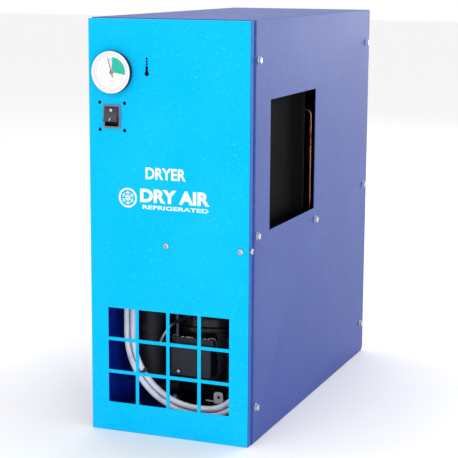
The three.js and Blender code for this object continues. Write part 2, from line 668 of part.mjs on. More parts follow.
// ---------------------------------------------------------------- compressor
function compressor(group) {
  const { y, halfWidth: r, halfLength, seam, height, wall } = COMPRESSOR;
  const x = compressorX;
  const stretch = halfLength / r;
  const bottom = FOOT.z + FOOT.thickness + GAP;
  const lower = [
    [0, bottom],
    [r - 26, bottom],
    [r - 6, bottom + 12],
    [r, bottom + 36],
    [r, seam - 4],
    [r + seamFlange, seam - 4],
    [r + seamFlange, seam - GAP],
    [r - wall, seam - GAP],
    [r - wall, bottom + 37],
    [r - wall - 6, bottom + 15],
    [r - 28, bottom + wall],
    [0, bottom + wall],
  ];
  node(group, "compressor_lower_shell", turnedPiece(lower, "z", x, y, 0, 20, stretch), "blackShell");
  const upper = [
    [0, height],
    [r - 30, height - 4],
    [r - 9, height - 17],
    [r - 1, height - 42],
    [r, seam + 3],
    [r + seamFlange, seam + 3],
    [r + seamFlange, seam],
    [r - wall, seam],
    [r - wall - 1, height - 43],
    [r - wall - 9, height - 19],
    [r - wall - 30, height - 4 - wall],
    [0, height - wall],
  ];
  node(group, "compressor_upper_shell", turnedPiece(upper, "z", x, y, 0, 20, stretch), "blackShell");
  compressorMotor(group, x, y, bottom + wall);
  compressorFeet(group, x, y);
}

// The stator stands on its four spring posts and carries the pump block; the rotor hangs in both.
function compressorMotor(group, x, y, floor) {
  const core = floor + 24;
  const coreTop = core + 46;
  const blockTop = coreTop + 18;
  const winding = closed([
    [MOTOR.rotor + MOTOR.air, core],
    [stator, core],
    [stator, coreTop],
    [MOTOR.rotor + MOTOR.air, coreTop],
  ]);
  const parts = [turnedPiece(winding, "z", x, y, 0, 24)];
  const aside = COMPRESSOR.halfWidth - MOTOR.postFromShell;
  const tall = core + 1 - floor - GAP;
  for (const dx of [-aside, aside]) {
    for (const dy of [-20, 20]) {
      parts.push(bar(MOTOR.post, tall, "z", x + dx, y + dy, floor + GAP, 8));
    }
  }
  parts.push(block(x - 24, y - 48, coreTop - 1, x + 24, y + 48, blockTop));
  const bearing = bar(MOTOR.shaft + MOTOR.running, 60, "z", x, y, coreTop - 5, 24);
  node(group, "compressor_motor", cut(join(...parts), [bearing]), "steel");
  const rotor = bar(MOTOR.rotor, 40, "z", x, y, core + 2, 16);
  const shaft = bar(MOTOR.shaft, blockTop - core + 8, "z", x, y, core - 4, 12);
  const crank = bar(7, 7, "z", x + 5, y, blockTop + 1, 12);
  const web = bar(15, 3, "z", x, y, blockTop + GAP, 16);
  node(group, "compressor_rotor", join(rotor, shaft, web, crank), "steel");
}

function compressorFeet(group, x, y) {
  const top = FOOT.z + FOOT.thickness;
  const halfWidth = FOOT.width / 2;
  const halfLength = FOOT.length / 2;
  const corner = 14;
  const outline = roundedShape(x - halfWidth, y - halfLength, x + halfWidth, y + halfLength, {
    bottomLeft: corner,
    bottomRight: corner,
    topRight: corner,
    topLeft: corner,
  });
  const plate = pushed(outline, FOOT.z, top, "z");
  const corners = { front_left: [-1, -1], front_right: [1, -1], rear_left: [-1, 1], rear_right: [1, 1] };
  const holes = [];
  for (const [name, [sideX, sideY]] of Object.entries(corners)) {
    const footX = x + (sideX * FOOT.pitchX) / 2;
    const footY = y + (sideY * FOOT.pitchY) / 2;
    holes.push(bar(GROMMET.hole, 20, "z", footX, footY, FOOT.z - 5, 12));
    const rubber = closed([
      [GROMMET.stud, trayTop],
      [GROMMET.radius, trayTop],
      [GROMMET.radius, FOOT.z - GAP],
      [GROMMET.hole - GAP, FOOT.z - GAP],
      [GROMMET.hole - GAP, top + 3],
      [GROMMET.stud, top + 3],
    ]);
    node(group, "grommet_" + name, turnedPiece(rubber, "z", footX, footY, 0, 12), "rubber");
  }
  node(group, "compressor_foot_plate", cut(plate, holes), "blackShell");
}

// The cover over the motor terminals: a block with a step along its upper front edge.
function terminalBox(group) {
  const rear = shellFront - GAP;
  const front = rear - TERMINAL.depth;
  const left = compressorX + TERMINAL.aside - TERMINAL.width / 2;
  const right = left + TERMINAL.width;
  const top = TERMINAL.bottom + TERMINAL.height;
  const outline = roundedShape(left, front, right, rear, { bottomLeft: 3, bottomRight: 3 });
  const shell = pushed(outline, TERMINAL.bottom, top, "z");
  const stepFloor = top - TERMINAL.step;
  const step = block(left - 1, front - 1, stepFloor, right + 1, rear - TERMINAL.shelf, top + 1);
  node(group, "terminal_box", shell.subtract(step), "blackPlastic");
}

// ---------------------------------------------------------------- condenser and fan
function condenserAndFan(group) {
  const { left, right, bottom, rear, top } = condenser;
  const plate = 1.5;
  const fins = block(left + 4, CONDENSER.front, bottom + 4, right - 4, rear, top - 4);
  const frontPlate = block(left, CONDENSER.front, bottom, right, CONDENSER.front + plate, top);
  const rearPlate = block(left, rear - plate, bottom, right, rear, top);
  const shelfTop = SHELF.z + SHEET + GAP;
  const foot = block(left, CONDENSER.front, shelfTop, right, CONDENSER.front + plate, bottom + 1);
  const heel = block(left, rear - plate, SHELF.z + SHEET + GAP, right, rear, bottom + 1);
  node(group, "condenser_core", join(fins, frontPlate, rearPlate, foot, heel), "fins");
  fanShroud(group);
  const motor = closed([
    [FAN_MOUNT.shaft + MOTOR.running, 0],
    [FAN.motor, 0],
    [FAN.motor, FAN.motorLength],
    [FAN_MOUNT.shaft + MOTOR.running, FAN.motorLength],
  ]);
  const motorLeft = motorRight - FAN.motorLength;
  node(group, "fan_motor", turnedPiece(motor, "x", motorLeft, fan.y, fan.z, 20), "blackPlastic");
  node(group, "fan_impeller", fanImpeller(motorLeft), "steel");
}

// A plate with a round throat, and the strap that carries the motor behind it.
function fanShroud(group) {
  const plateRight = shroudLeft + SHEET;
  const { bottom, rear, top } = condenser;
  const plate = block(shroudLeft, CONDENSER.front, bottom, plateRight, rear, top);
  const throat = bar(fanRadius + FAN.tip, 6, "x", shroudLeft - 2, fan.y, fan.z, 24);
  const strapLeft = motorRight - FAN.motorLength - GAP - SHEET;
  const strapRight = strapLeft + SHEET;
  const legRight = shroudLeft + SHEET / 2;
  const near = fan.y - FAN_MOUNT.strap;
  const far = fan.y + FAN_MOUNT.strap;
  const reach = fanRadius + 3 * FAN.tip;
  const low = fan.z - reach;
  const high = fan.z + reach;
  const upright = block(strapLeft, near, low, strapRight, far, high);
  const topLeg = block(strapLeft, near, high - SHEET, legRight, far, high);
  const bottomLeg = block(strapLeft, near, low, legRight, far, low + SHEET);
  const hole = bar(FAN_MOUNT.shaft + GAP, 6, "x", strapLeft - 2, fan.y, fan.z, 10);
  node(group, "fan_shroud", cut(join(cut(plate, [throat]), upright, topLeg, bottomLeg), [hole]), "zinc");
}

function fanImpeller(motorLeft) {
  const { x, y, z } = fan;
  const hub = bar(FAN.hub, FAN.blade, "x", x, y, z, 20);
  const shaft = bar(FAN_MOUNT.shaft, x - motorLeft + 1, "x", motorLeft, y, z, 12);
  const root = FAN.hub - 5; // the blades start inside the hub
  const blades = [];
  for (let i = 0; i < FAN.blades; i++) {
    const blade = new THREE.BoxGeometry(1.6, 46, fanRadius - root, 1, 1, 3);
    blade.translate(0, 0, (fanRadius + root) / 2);
    blade.rotateZ(THREE.MathUtils.degToRad(22));
    blade.rotateX((2 * Math.PI * i) / FAN.blades);
    blades.push(solid(blade.translate(x + FAN.blade / 2, y, z)));
  }
  const trim = bar(fanRadius, 40, "x", x - 12, y, z, 24);
  return join(hub, shaft, join(...blades).intersect(trim));
}

// ---------------------------------------------------------------- refrigerant circuit
function refrigerantTubes(group) {
  const hot = [
    [condenser.left + 28, condenser.rear + GAP, gas.top],
    [condenser.left + 28, gas.y, gas.top],
    [gas.x, gas.y, gas.top],
    [gas.x, gas.y, 100],
    [compressorX, gas.y + 2, 100],
    [compressorX, shellRear + 0.8, 100],
  ];
  node(group, "discharge_tube", bentTube(hot, TUBE.copper, TUBE.bend, 8), "copper");
  const liquid = [
    [drier.x, condenser.rear + GAP, condenser.bottom + 18],
    [drier.x, drier.y, condenser.bottom + 18],
    [drier.x, drier.y, drier.top + GAP],
  ];
  node(group, "liquid_tube", bentTube(liquid, TUBE.copper, TUBE.bend, 8), "copper");
  const can = [
    [0, 0],
    [3, 0],
    [3, 8],
    [drier.radius, 16],
    [drier.radius, drier.length - 16],
    [3, drier.length - 8],
    [3, drier.length],
    [0, drier.length],
  ];
  const made = turnedPiece(can, "z", drier.x, drier.y, drier.top - drier.length, 16);
  node(group, "filter_drier", made, "copper");
  suctionLine(group);
  bypassValve(group);
}

// A point outside the compressor's oval, at an angle in degrees from +X.
function onShell(angle, clearance) {
  const turn = THREE.MathUtils.degToRad(angle);
  const x = compressorX + (COMPRESSOR.halfWidth + clearance) * Math.cos(turn);
  const y = COMPRESSOR.y + (COMPRESSOR.halfLength + clearance) * Math.sin(turn);
  return [x, y];
}

function suctionLine(group) {
  const back = exchanger.front - GAP;
  const route = [
    [pipeX, back, pipeTop],
    [pipeX, PIPE.y, pipeTop],
    [pipeX, PIPE.y, PIPE.inlet],
    [...onShell(-120, -2.5), PIPE.inlet],
  ];
  node(group, "suction_tube", bentTube(route, PIPE.copper, PIPE.bend, 12), "copper");
  const foamBottom = PIPE.inlet + PIPE.bend + 1;
  const foamTop = pipeTop - PIPE.bend - 1;
  const sleeve = closed([
    [PIPE.copper + GAP, foamBottom],
    [PIPE.foam, foamBottom],
    [PIPE.foam, foamTop],
    [PIPE.copper + GAP, foamTop],
  ]);
  node(group, "suction_insulation", turnedPiece(sleeve, "z", pipeX, PIPE.y, 0, 24), "foam");
}

// The hot-gas bypass valve: a brass body with a cap over its adjuster, standing on the shelf.
function bypassValve(group) {
  const x = pipeX - 12;
  const y = exchanger.front - 45;
  const stand = SHELF.z + SHEET + GAP;
  const parts = [
    bar(12, 26, "z", x, y, stand, 16),
    hexBar(20, 12, "z", x, y, stand + 25),
    bar(8, 14, "z", x, y, stand + 36, 12),
    bar(3, 34, "y", x, y, stand + 14, 10),
    bar(3, 30, "-y", x, y, stand + 14, 10),
  ];
  node(group, "bypass_valve", join(...parts), "brass");
}

// ---------------------------------------------------------------- air side
function airCircuit(group) {
  const { left, rear, bottom, top } = exchanger;
  const right = left + EXCHANGER.width;
  const corner = 12;
  const outline = roundedShape(left, exchanger.front, right, rear, {
    bottomLeft: corner,
    bottomRight: corner,
    topRight: corner,
    topLeft: corner,
  });
  const feet = [];
  for (const x of [left + 20, right - 30]) {
    feet.push(block(x, exchanger.front + 20, SHELF.z + SHEET + GAP, x + 10, rear - 20, bottom + 1));
  }
  node(group, "heat_exchanger", join(pushed(outline, bottom, top, "z"), ...feet), "foam");
  const can = [
    [0, 0],
    [SEPARATOR.radius - 8, 0],
    [SEPARATOR.radius, 12],
    [SEPARATOR.radius, SEPARATOR.height],
    [0, SEPARATOR.height],
  ];
  node(group, "moisture_separator", turnedPiece(can, "z", drain.x, drain.y, separatorBottom, 20), "steel");
  const names = ["air_inlet_port", "air_outlet_port"];
  names.forEach((name, i) => node(group, name, airPort(portXs[i], rear + GAP), "brass"));
}

// A pipe stub with a threaded bore and a hexagon, which stands out of the rear panel.
function airPort(x, from) {
  const mouth = CASE.depth + PORT.proud;
  const stub = bar(PORT.radius, mouth - from, "y", x, from, portZ, 16);
  const hexagon = hexBar(PORT.across, 12, "y", x, CASE.depth + GAP, portZ);
  const rim = bar(PORT.radius + 2, 9, "y", x, mouth - 9, portZ, 16);
  const bore = bar(PORT.bore, mouth - from, "y", x, from + 8, portZ, 16);
  return cut(join(stub, hexagon, rim), [bore]);
}

// ---------------------------------------------------------------- condensate drain
function condensateDrain(group) {
  const { x, y } = drain;
  const outletZ = valve.bottom + 12;
  const body = join(
    bar(7, 12, "z", x, y, valve.top - 12, 12),
    block(x - 15, y - 13, valve.bottom, x + 15, y + 13, valve.top - 11),
    bar(5, 12, "y", x, y + 12, outletZ, 12),
  );
  node(group, "drain_valve", body, "brass");
  const half = timer.size / 2;
  const face = y - half;
  const knobZ = timer.bottom + 29;
  const buttonZ = timer.bottom + 11;
  const knobXs = [x - timer.knobAside, x + timer.knobAside];
  const housing = block(x - half, face, timer.bottom, x + half, y + half, valve.bottom - GAP);
  const wells = knobXs.map((knobX) => bar(timer.knob + GAP, 6, "y", knobX, face - 1, knobZ, 16));
  wells.push(bar(timer.button + GAP, 9, "y", x, face - 1, buttonZ, 16));
  node(group, "drain_timer", cut(housing, wells), "blackPlastic");
  node(group, "drain_interval_knob", timerKnob(knobXs[0], face, knobZ), "knob");
  node(group, "drain_time_knob", timerKnob(knobXs[1], face, knobZ), "knob");
  node(group, "drain_test_button", bar(timer.button, 7, "y", x, face - 3, buttonZ, 16), "knob");
  drainLine(group, y + 24 + GAP, outletZ);
}

// A round knob with a finger bar across it.
function timerKnob(x, face, z) {
  const grip = block(x - 1.2, face - 5.5, z - 4.2, x + 1.2, face - 2, z + 4.2);
  return join(bar(timer.knob, 6.5, "y", x, face - 2.5, z, 16), grip);
}

function drainLine(group, from, outletZ) {
  const fittingFront = CASE.depth - 26;
  const run = fittingFront - GAP - from;
  const route = [
    [drain.x, from, outletZ],
    [drain.x, from + run * 0.39, outletZ],
    [drain.x, from + run * 0.63, drainOutlet.z],
    [drain.x, from + run, drainOutlet.z],
  ];
  node(group, "drain_hose", bentTube(route, 4, 12, 10), "hose");
  const fitting = join(
    bar(5.6, 30, "y", drain.x, fittingFront, drainOutlet.z, 12),
    bar(8, 22, "y", drain.x, CASE.depth - 10, drainOutlet.z, 12),
    hexBar(19, 5, "y", drain.x, CASE.depth + GAP, drainOutlet.z),
  );
  const bore = bar(3.4, 60, "y", drain.x, fittingFront + 4, drainOutlet.z, 10);
  node(group, "drain_outlet", cut(fitting, [bore]), "brass");
}

// ---------------------------------------------------------------- mains lead
function mainsLead(group) {
  const top = SHELF.z - GAP;
  const sleeve = closed([
    [LEAD.radius + GAP, top],
    [GRIP.flange, top],
    [GRIP.flange, top - 4],
    [8.5, top - 4],
    [5.6, top - GRIP.length],
    [LEAD.radius + GAP, top - GRIP.length],
  ]);
  node(group, "cord_grip", turnedPiece(sleeve, "z", gripX, GRIP.y, 0, 16), "rubber");
  node(group, "cord_drop", freeTube(LEAD_DROP, LEAD.radius, 10, 8), "lead");
  node(group, "cord_tail", freeTube(LEAD_TAIL, LEAD.radius, 10, 12), "lead");
  node(group, "cord_coil", coilSolid(), "lead");
  node(group, "mains_plug", mainsPlug(), "rubber");
}

// The outer shape of the coil: a flat ring that follows the compartment's outline.
function coilSolid() {
  const { bottomLeft, bottomRight } = COIL_CORNERS;
  const fit = Math.min(1, (coil.right - coil.left) / (bottomLeft + bottomRight));
  const grown = (by) => {
    const radii = {};
    for (const [corner, radius] of Object.entries(COIL_CORNERS)) radii[corner] = radius * fit + by;
    return roundedShape(coil.left - by, coil.bottom - by, coil.right + by, coil.top + by, radii);
  };
  const half = COIL.thickness / 2;
  const outside = pushed(grown(COIL.band), COIL.y - half, COIL.y + half, "y", 5);
  const inside = pushed(grown(-COIL.band), COIL.y - half - 1, COIL.y + half + 1, "y", 5);
  return outside.subtract(inside);
}

// A round two-pin plug that lies on the tray, its pins to the rear.
function mainsPlug() {
  const z = trayTop + PLUG.radius;
  const bodyFront = PLUG.neck;
  const face = PLUG.neck + PLUG.body;
  const profile = [
    [0, 0],
    [LEAD.radius + 1.5, 0],
    [8, bodyFront],
    [PLUG.radius - 3, bodyFront + 3],
    [PLUG.radius, bodyFront + 12],
    [PLUG.radius, face - 2],
    [PLUG.radius - 2, face],
    [0, face],
  ];
  const body = turnedPiece(profile, "y", plugX, PLUG.front, z, 20);
  const pinFront = PLUG.front + face - 4;
  const pins = [-1, 1].map((side) => {
    const x = plugX + (side * PIN.spacing) / 2;
    return bar(PIN.radius, PIN.length + 4, "y", x, pinFront, z, 10);
  });
  return join(body, ...pins);
}

// ---------------------------------------------------------------- screws
function screws(group) {
  for (const [name, [y, z]] of Object.entries(SIDE_SCREWS)) {
    const face = CASE.width + GAP;
    const shank = bar(SCREW.shank, SCREW.length + GAP, "-x", face + 0.5, y, z, 8);
    const flange = bar(SCREW.flange, 1, "x", face, y, z, 16);
    const head = hexBar(SCREW.across, SCREW.head, "x", face, y, z);
    node(group, name, join(shank, flange, head), "zinc");
  }
  const names = ["front_screw_centre", "front_screw_right"];
  names.forEach((name, i) => {
    node(group, name, buttonScrew("-y", frontScrewXs[i], -GAP, frontScrewZ), "zinc");
  });
  const side = CASE.width - PANEL.inset + GAP;
  const low = buttonScrew("x", side, flangeScrewY, frontScrewZ, 1.5);
  node(group, "flange_screw", low, "zinc");
}

// A domed head with a hexagonal recess, pointing along an axis, its shank the other way.
function buttonScrew(axis, x, y, z, height = FRONT_SCREW.head) {
  const r = FRONT_SCREW.radius;
  const profile = [
    [0, height],
    [r * 0.55, height],
    [r * 0.9, height * 0.6],
    [r, 0],
    [SCREW.shank, 0],
    [SCREW.shank, -SCREW.length + 2],
    [0, -SCREW.length + 2],
  ];
  const hexagon = new THREE.CylinderGeometry(1.4, 1.4, 4, 6);
  hexagon.rotateX(Math.PI / 2).translate(0, 0, height - 1 + 2);
  const recess = solid(turned(hexagon, axis).translate(x, y, z));
  return turnedPiece(profile, axis, x, y, z, 14).subtract(recess);
}

[
  frontPanel,
  wrapCover,
  frontFrame,
  baseTray,
  midShelf,
  rearPanel,
  dialThermometer,
  rockerSwitch,
  compressor,
  terminalBox,
  condenserAndFan,
  refrigerantTubes,
  airCircuit,
  condensateDrain,
  mainsLead,
  screws,
].forEach(section);

export default dryer;
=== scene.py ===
# Refrigerated air dryer: a textured powder-coated steel cabinet with a dial thermometer, a rocker
# switch, a condenser behind a side window and a mains lead stored behind the front grid.
# Millimetre places are measured from the casing's front left bottom corner: x right, y rear, z up.

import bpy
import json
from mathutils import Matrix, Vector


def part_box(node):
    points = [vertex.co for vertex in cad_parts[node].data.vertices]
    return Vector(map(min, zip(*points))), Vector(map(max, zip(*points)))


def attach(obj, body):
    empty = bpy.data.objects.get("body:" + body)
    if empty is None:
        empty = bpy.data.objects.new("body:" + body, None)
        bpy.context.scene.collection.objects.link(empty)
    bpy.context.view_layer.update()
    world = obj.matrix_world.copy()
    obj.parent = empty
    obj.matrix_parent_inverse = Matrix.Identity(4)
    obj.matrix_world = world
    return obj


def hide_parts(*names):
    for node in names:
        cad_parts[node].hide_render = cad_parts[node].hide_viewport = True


bl_info = {
    "name": "Refrigerated Air Dryer",
    "version": (1, 0, 0),
    "blender": (4, 5, 0),
    "location": "View3D > Sidebar > Air Dryer",
    "description": "Builds the finished pieces of a small refrigerated air dryer on its frame",
    "category": "Add Mesh",
}

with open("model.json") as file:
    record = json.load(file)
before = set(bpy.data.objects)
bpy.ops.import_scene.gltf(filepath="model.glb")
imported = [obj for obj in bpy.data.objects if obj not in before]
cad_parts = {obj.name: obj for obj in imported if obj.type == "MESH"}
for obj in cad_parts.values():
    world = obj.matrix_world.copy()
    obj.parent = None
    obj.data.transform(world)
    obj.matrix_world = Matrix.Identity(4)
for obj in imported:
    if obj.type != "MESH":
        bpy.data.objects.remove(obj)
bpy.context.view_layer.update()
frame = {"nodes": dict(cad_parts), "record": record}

import json
import random
from math import ceil, cos, hypot, pi, radians, sin, sqrt, tau

import bmesh
import bpy
from mathutils import Euler, Matrix, Vector
from mathutils.geometry import convex_hull_2d

MM = 0.001
SEED = 11


def span(node):
    """The lowest and highest corner of a frame node, in metres."""
    low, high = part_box(node)
    return Vector(low), Vector(high)


CORNER = Vector((span("wrap_cover")[0].x, span("front_panel")[0].y, 0.0))
WIDTH = (span("wrap_cover")[1].x - CORNER.x) / MM
DEPTH = (span("wrap_cover")[1].y - CORNER.y) / MM
HEIGHT = span("wrap_cover")[1].z / MM
BODY_OF = {
    node: body
    for body, nodes in frame["record"]["behaviour"]["bodies"].items()
    for node in nodes
}


def at(x, y, z):
    """A point in metres from millimetres measured from the casing's corner."""
    return CORNER + Vector((x, y, z)) * MM


def corners_mm(node):
    """A frame node's box in millimetres from the casing's corner."""
    low, high = span(node)
    return (low - CORNER) / MM, (high - CORNER) / MM


def middle_mm(node):
    low, high = corners_mm(node)
    return (low + high) / 2


# ---------------------------------------------------------------- finishes
def linear(code):
    """An sRGB hex colour as linear red, green, blue and alpha."""
    channels = [int(code[i : i + 2], 16) / 255 for i in (0, 2, 4)]
    return [c / 12.92 if c <= 0.04045 else ((c + 0.055) / 1.055) ** 2.4 for c in channels] + [1.0]


def per_metre(size_mm):
    """A texture scale whose pattern repeats about every size_mm."""
    return 1000.0 / size_mm


def add(tree, kind, inputs=None, **settings):
    """Adds a node; an input is a plain value, or another node's output to link."""
    node = tree.nodes.new(kind)
    for name, value in settings.items():
        setattr(node, name, value)
    for name, value in (inputs or {}).items():
        if isinstance(value, bpy.types.NodeSocket):
            tree.links.new(value, node.inputs[name])
        else:
            node.inputs[name].default_value = value
    return node


def start(name, **constants):
    """A new material, its node tree, its shader and the object coordinates."""
    material = bpy.data.materials.new(name)
    material.use_nodes = True
    tree = material.node_tree
    shader = tree.nodes["Principled BSDF"]
    for socket, value in constants.items():
        shader.inputs[socket.replace("_", " ")].default_value = value
    place = add(tree, "ShaderNodeTexCoord").outputs["Object"]
    return material, tree, shader, place


def colour_mix(tree, factor, first, second):
    """The colour between two others; inputs 6 and 7 are the colour sockets of the node."""
    inputs = {0: factor, 6: first, 7: second}
    return add(tree, "ShaderNodeMix", inputs, data_type="RGBA").outputs[2]


def noise(tree, place, size_mm, detail=2.0, roughness=0.5):
    inputs = {"Vector": place, "Scale": per_metre(size_mm), "Detail": detail, "Roughness": roughness}
    return add(tree, "ShaderNodeTexNoise", inputs).outputs["Fac"]


def spread(tree, value, low, high, to_low, to_high):
    inputs = {"Value": value, "From Min": low, "From Max": high, "To Min": to_low, "To Max": to_high}
    return add(tree, "ShaderNodeMapRange", inputs).outputs["Result"]


def relief(tree, shader, height, strength, depth_mm):
    inputs = {"Height": height, "Strength": strength, "Distance": depth_mm * MM}
    bump = add(tree, "ShaderNodeBump", inputs)
    tree.links.new(bump.outputs["Normal"], shader.inputs["Normal"])


def connect(tree, value, shader, socket):
    tree.links.new(value, shader.inputs[socket])


def powder_coat(name, colour, lighter, grain, gloss):
    """Polyester powder coat with a fine leather texture on sheet steel: small soft pits scatter
    the light, so highlights are broad and speckled, and the film thins a little over broad areas."""
    material, tree, shader, place = start(name, IOR=1.5, Specular_IOR_Level=gloss)
    pits = noise(tree, place, grain, 3.0, 0.6)
    specks = spread(tree, noise(tree, place, grain * 1.9, 1.0), 0.63, 0.75, 0.0, 0.6)
    broad = spread(tree, noise(tree, place, 90.0), 0.3, 0.7, 0.0, 0.12)
    base = colour_mix(tree, broad, colour, lighter)
    connect(tree, colour_mix(tree, specks, base, lighter), shader, "Base Color")
    connect(tree, spread(tree, pits, 0.3, 0.7, 0.4, 0.56), shader, "Roughness")
    relief(tree, shader, pits, 0.35, 0.12)
    return material


def zinc_plate():
    """Bright zinc plated steel: a pale bluish metal with cloudy patches from the plating bath."""
    material, tree, shader, place = start("zinc plated steel", Metallic=1.0)
    clouds = noise(tree, place, 14.0, 4.0, 0.65)
    connect(tree, colour_mix(tree, clouds, linear("a9b0b8"), linear("d4d9de")), shader, "Base Color")
    connect(tree, spread(tree, clouds, 0.3, 0.7, 0.28, 0.45), shader, "Roughness")
    relief(tree, shader, noise(tree, place, 1.2), 0.08, 0.05)
    return material


def turned_steel(name, dark, light, line_mm):
    """Plain machined or stainless steel: fine grooves around the piece left by the tool."""
    material, tree, shader, place = start(name, Metallic=1.0)
    stretched = add(tree, "ShaderNodeMapping", {"Vector": place, "Scale": (1.0, 1.0, 12.0)})
    lines = noise(tree, stretched.outputs["Vector"], line_mm, 3.0, 0.6)
    connect(tree, colour_mix(tree, lines, linear(dark), linear(light)), shader, "Base Color")
    connect(tree, spread(tree, lines, 0.3, 0.7, 0.25, 0.42), shader, "Roughness")
    relief(tree, shader, lines, 0.1, 0.04)
    return material


def gloss_enamel():
    """Black baked enamel dipped on the drawn shell: glossy, with a slight orange peel."""
    material, tree, shader, place = start("black enamel", IOR=1.5)
    dust = spread(tree, noise(tree, place, 26.0, 4.0), 0.45, 0.75, 0.0, 0.5)
    connect(tree, colour_mix(tree, dust, linear("0b0b0e"), linear("1b1c20")), shader, "Base Color")
    connect(tree, spread(tree, noise(tree, place, 8.0), 0.3, 0.7, 0.22, 0.34), shader, "Roughness")
    relief(tree, shader, noise(tree, place, 3.2), 0.12, 0.1)
    return material


def moulded_plastic(name, dark, light, low, high, grain=0.9):
    """Injection moulded plastic with a spark-eroded texture: fine even grain, satin sheen."""
    material, tree, shader, place = start(name, IOR=1.53)
    grains = noise(tree, place, grain, 2.0, 0.6)
    cloud = noise(tree, place, 20.0, 3.0)
    connect(tree, colour_mix(tree, cloud, linear(dark), linear(light)), shader, "Base Color")
    connect(tree, spread(tree, grains, 0.3, 0.7, low, high), shader, "Roughness")
    relief(tree, shader, grains, 0.2, 0.05)
    return material


def cell_foam():
    """Closed-cell nitrile foam sleeve: matt black skin with shallow pores and scuffed patches."""
    material, tree, shader, place = start("nitrile foam", IOR=1.5)
    pores = add(tree, "ShaderNodeTexVoronoi", {"Vector": place, "Scale": per_metre(1.6)})
    scuffs = spread(tree, noise(tree, place, 30.0, 5.0, 0.7), 0.45, 0.75, 0.0, 0.7)
    connect(tree, colour_mix(tree, scuffs, linear("0c0b12"), linear("1c1a26")), shader, "Base Color")
    connect(tree, spread(tree, scuffs, 0.0, 1.0, 0.62, 0.8), shader, "Roughness")
    relief(tree, shader, pores.outputs["Distance"], 0.25, 0.12)
    return material


def rubber():
    """Moulded black rubber with a pale bloom in patches."""
    material, tree, shader, place = start("moulded rubber", IOR=1.52)
    bloom = spread(tree, noise(tree, place, 9.0, 4.0), 0.5, 0.8, 0.0, 0.5)
    connect(tree, colour_mix(tree, bloom, linear("121214"), linear("26262a")), shader, "Base Color")
    connect(tree, spread(tree, bloom, 0.0, 0.5, 0.55, 0.75), shader, "Roughness")
    relief(tree, shader, noise(tree, place, 0.8), 0.15, 0.05)
    return material


def drawn_copper():
    """Soft drawn copper tube: bright, with darker brown oxide where hands have touched it."""
    material, tree, shader, place = start("drawn copper", Metallic=1.0)
    oxide = spread(tree, noise(tree, place, 22.0, 5.0, 0.65), 0.42, 0.72, 0.0, 1.0)
    connect(tree, colour_mix(tree, oxide, linear("d78a63"), linear("8d4e33")), shader, "Base Color")
    connect(tree, spread(tree, oxide, 0.0, 1.0, 0.2, 0.42), shader, "Roughness")
    relief(tree, shader, noise(tree, place, 1.5), 0.06, 0.04)
    return material


def machined_brass():
    """Turned and milled brass: warm yellow with fine tool lines and a light tarnish."""
    material, tree, shader, place = start("machined brass", Metallic=1.0)
    stretched = add(tree, "ShaderNodeMapping", {"Vector": place, "Scale": (1.0, 9.0, 1.0)})
    lines = noise(tree, stretched.outputs["Vector"], 1.6, 2.0)
    tarnish = spread(tree, noise(tree, place, 12.0, 4.0), 0.45, 0.75, 0.0, 0.7)
    connect(tree, colour_mix(tree, tarnish, linear("c9a45a"), linear("8e6f3a")), shader, "Base Color")
    connect(tree, spread(tree, lines, 0.3, 0.7, 0.22, 0.38), shader, "Roughness")
    relief(tree, shader, lines, 0.08, 0.04)
    return material


def coated_fin():
    """Aluminium fin stock dipped in black lacquer: satin, thinner and greyer at the sheared edge."""
    material, tree, shader, place = start("black lacquered fin stock", IOR=1.5)
    thin = spread(tree, noise(tree, place, 5.0, 3.0), 0.5, 0.8, 0.0, 0.5)
    connect(tree, colour_mix(tree, thin, linear("050506"), linear("100f12")), shader, "Base Color")
    connect(tree, spread(tree, thin, 0.0, 0.5, 0.4, 0.55), shader, "Roughness")
    relief(tree, shader, noise(tree, place, 1.0), 0.1, 0.04)
    return material


def print_ink(name, colour, darker, roughness):
    """Screen-printed or offset ink: an even film with slightly thin spots."""
    material, tree, shader, place = start(name, IOR=1.48)
    thin = spread(tree, noise(tree, place, 1.4, 2.0), 0.4, 0.7, 0.0, 0.35)
    connect(tree, colour_mix(tree, thin, linear(colour), linear(darker)), shader, "Base Color")
    connect(tree, spread(tree, thin, 0.0, 0.35, roughness, roughness + 0.12), shader, "Roughness")
    return material


def acrylic_lens():
    """Thin clear acrylic window: nearly invisible apart from its reflections."""
    material, tree, shader, place = start("clear acrylic", IOR=1.49, Alpha=0.1, Transmission_Weight=1.0)
    haze = noise(tree, place, 16.0)
    connect(tree, spread(tree, haze, 0.4, 0.8, 0.01, 0.05), shader, "Roughness")
    connect(tree, colour_mix(tree, haze, linear("ffffff"), linear("f6fafc")), shader, "Base Color")
    return material


def soft_sheath(name, light, dark):
    """Soft PVC sheath: satin, slightly waxy, with faint scuffs along its length."""
    material, tree, shader, place = start(name, IOR=1.52, Subsurface_Weight=0.05)
    shader.inputs["Subsurface Scale"].default_value = 1.0 * MM
    scuffs = spread(tree, noise(tree, place, 16.0, 4.0, 0.6), 0.5, 0.78, 0.0, 0.6)
    connect(tree, colour_mix(tree, scuffs, linear(light), linear(dark)), shader, "Base Color")
    connect(tree, spread(tree, scuffs, 0.0, 0.6, 0.34, 0.5), shader, "Roughness")
    relief(tree, shader, noise(tree, place, 2.4), 0.08, 0.08)
    return material


def milky_hose():
    """Unfilled polyethylene hose: milky, lets some light through."""
    material, tree, shader, place = start("milky hose", IOR=1.5, Transmission_Weight=0.35)
    cloud = noise(tree, place, 10.0, 3.0)
    connect(tree, colour_mix(tree, cloud, linear("e9edf0"), linear("cdd6dc")), shader, "Base Color")
    connect(tree, spread(tree, cloud, 0.3, 0.7, 0.3, 0.42), shader, "Roughness")
    return material


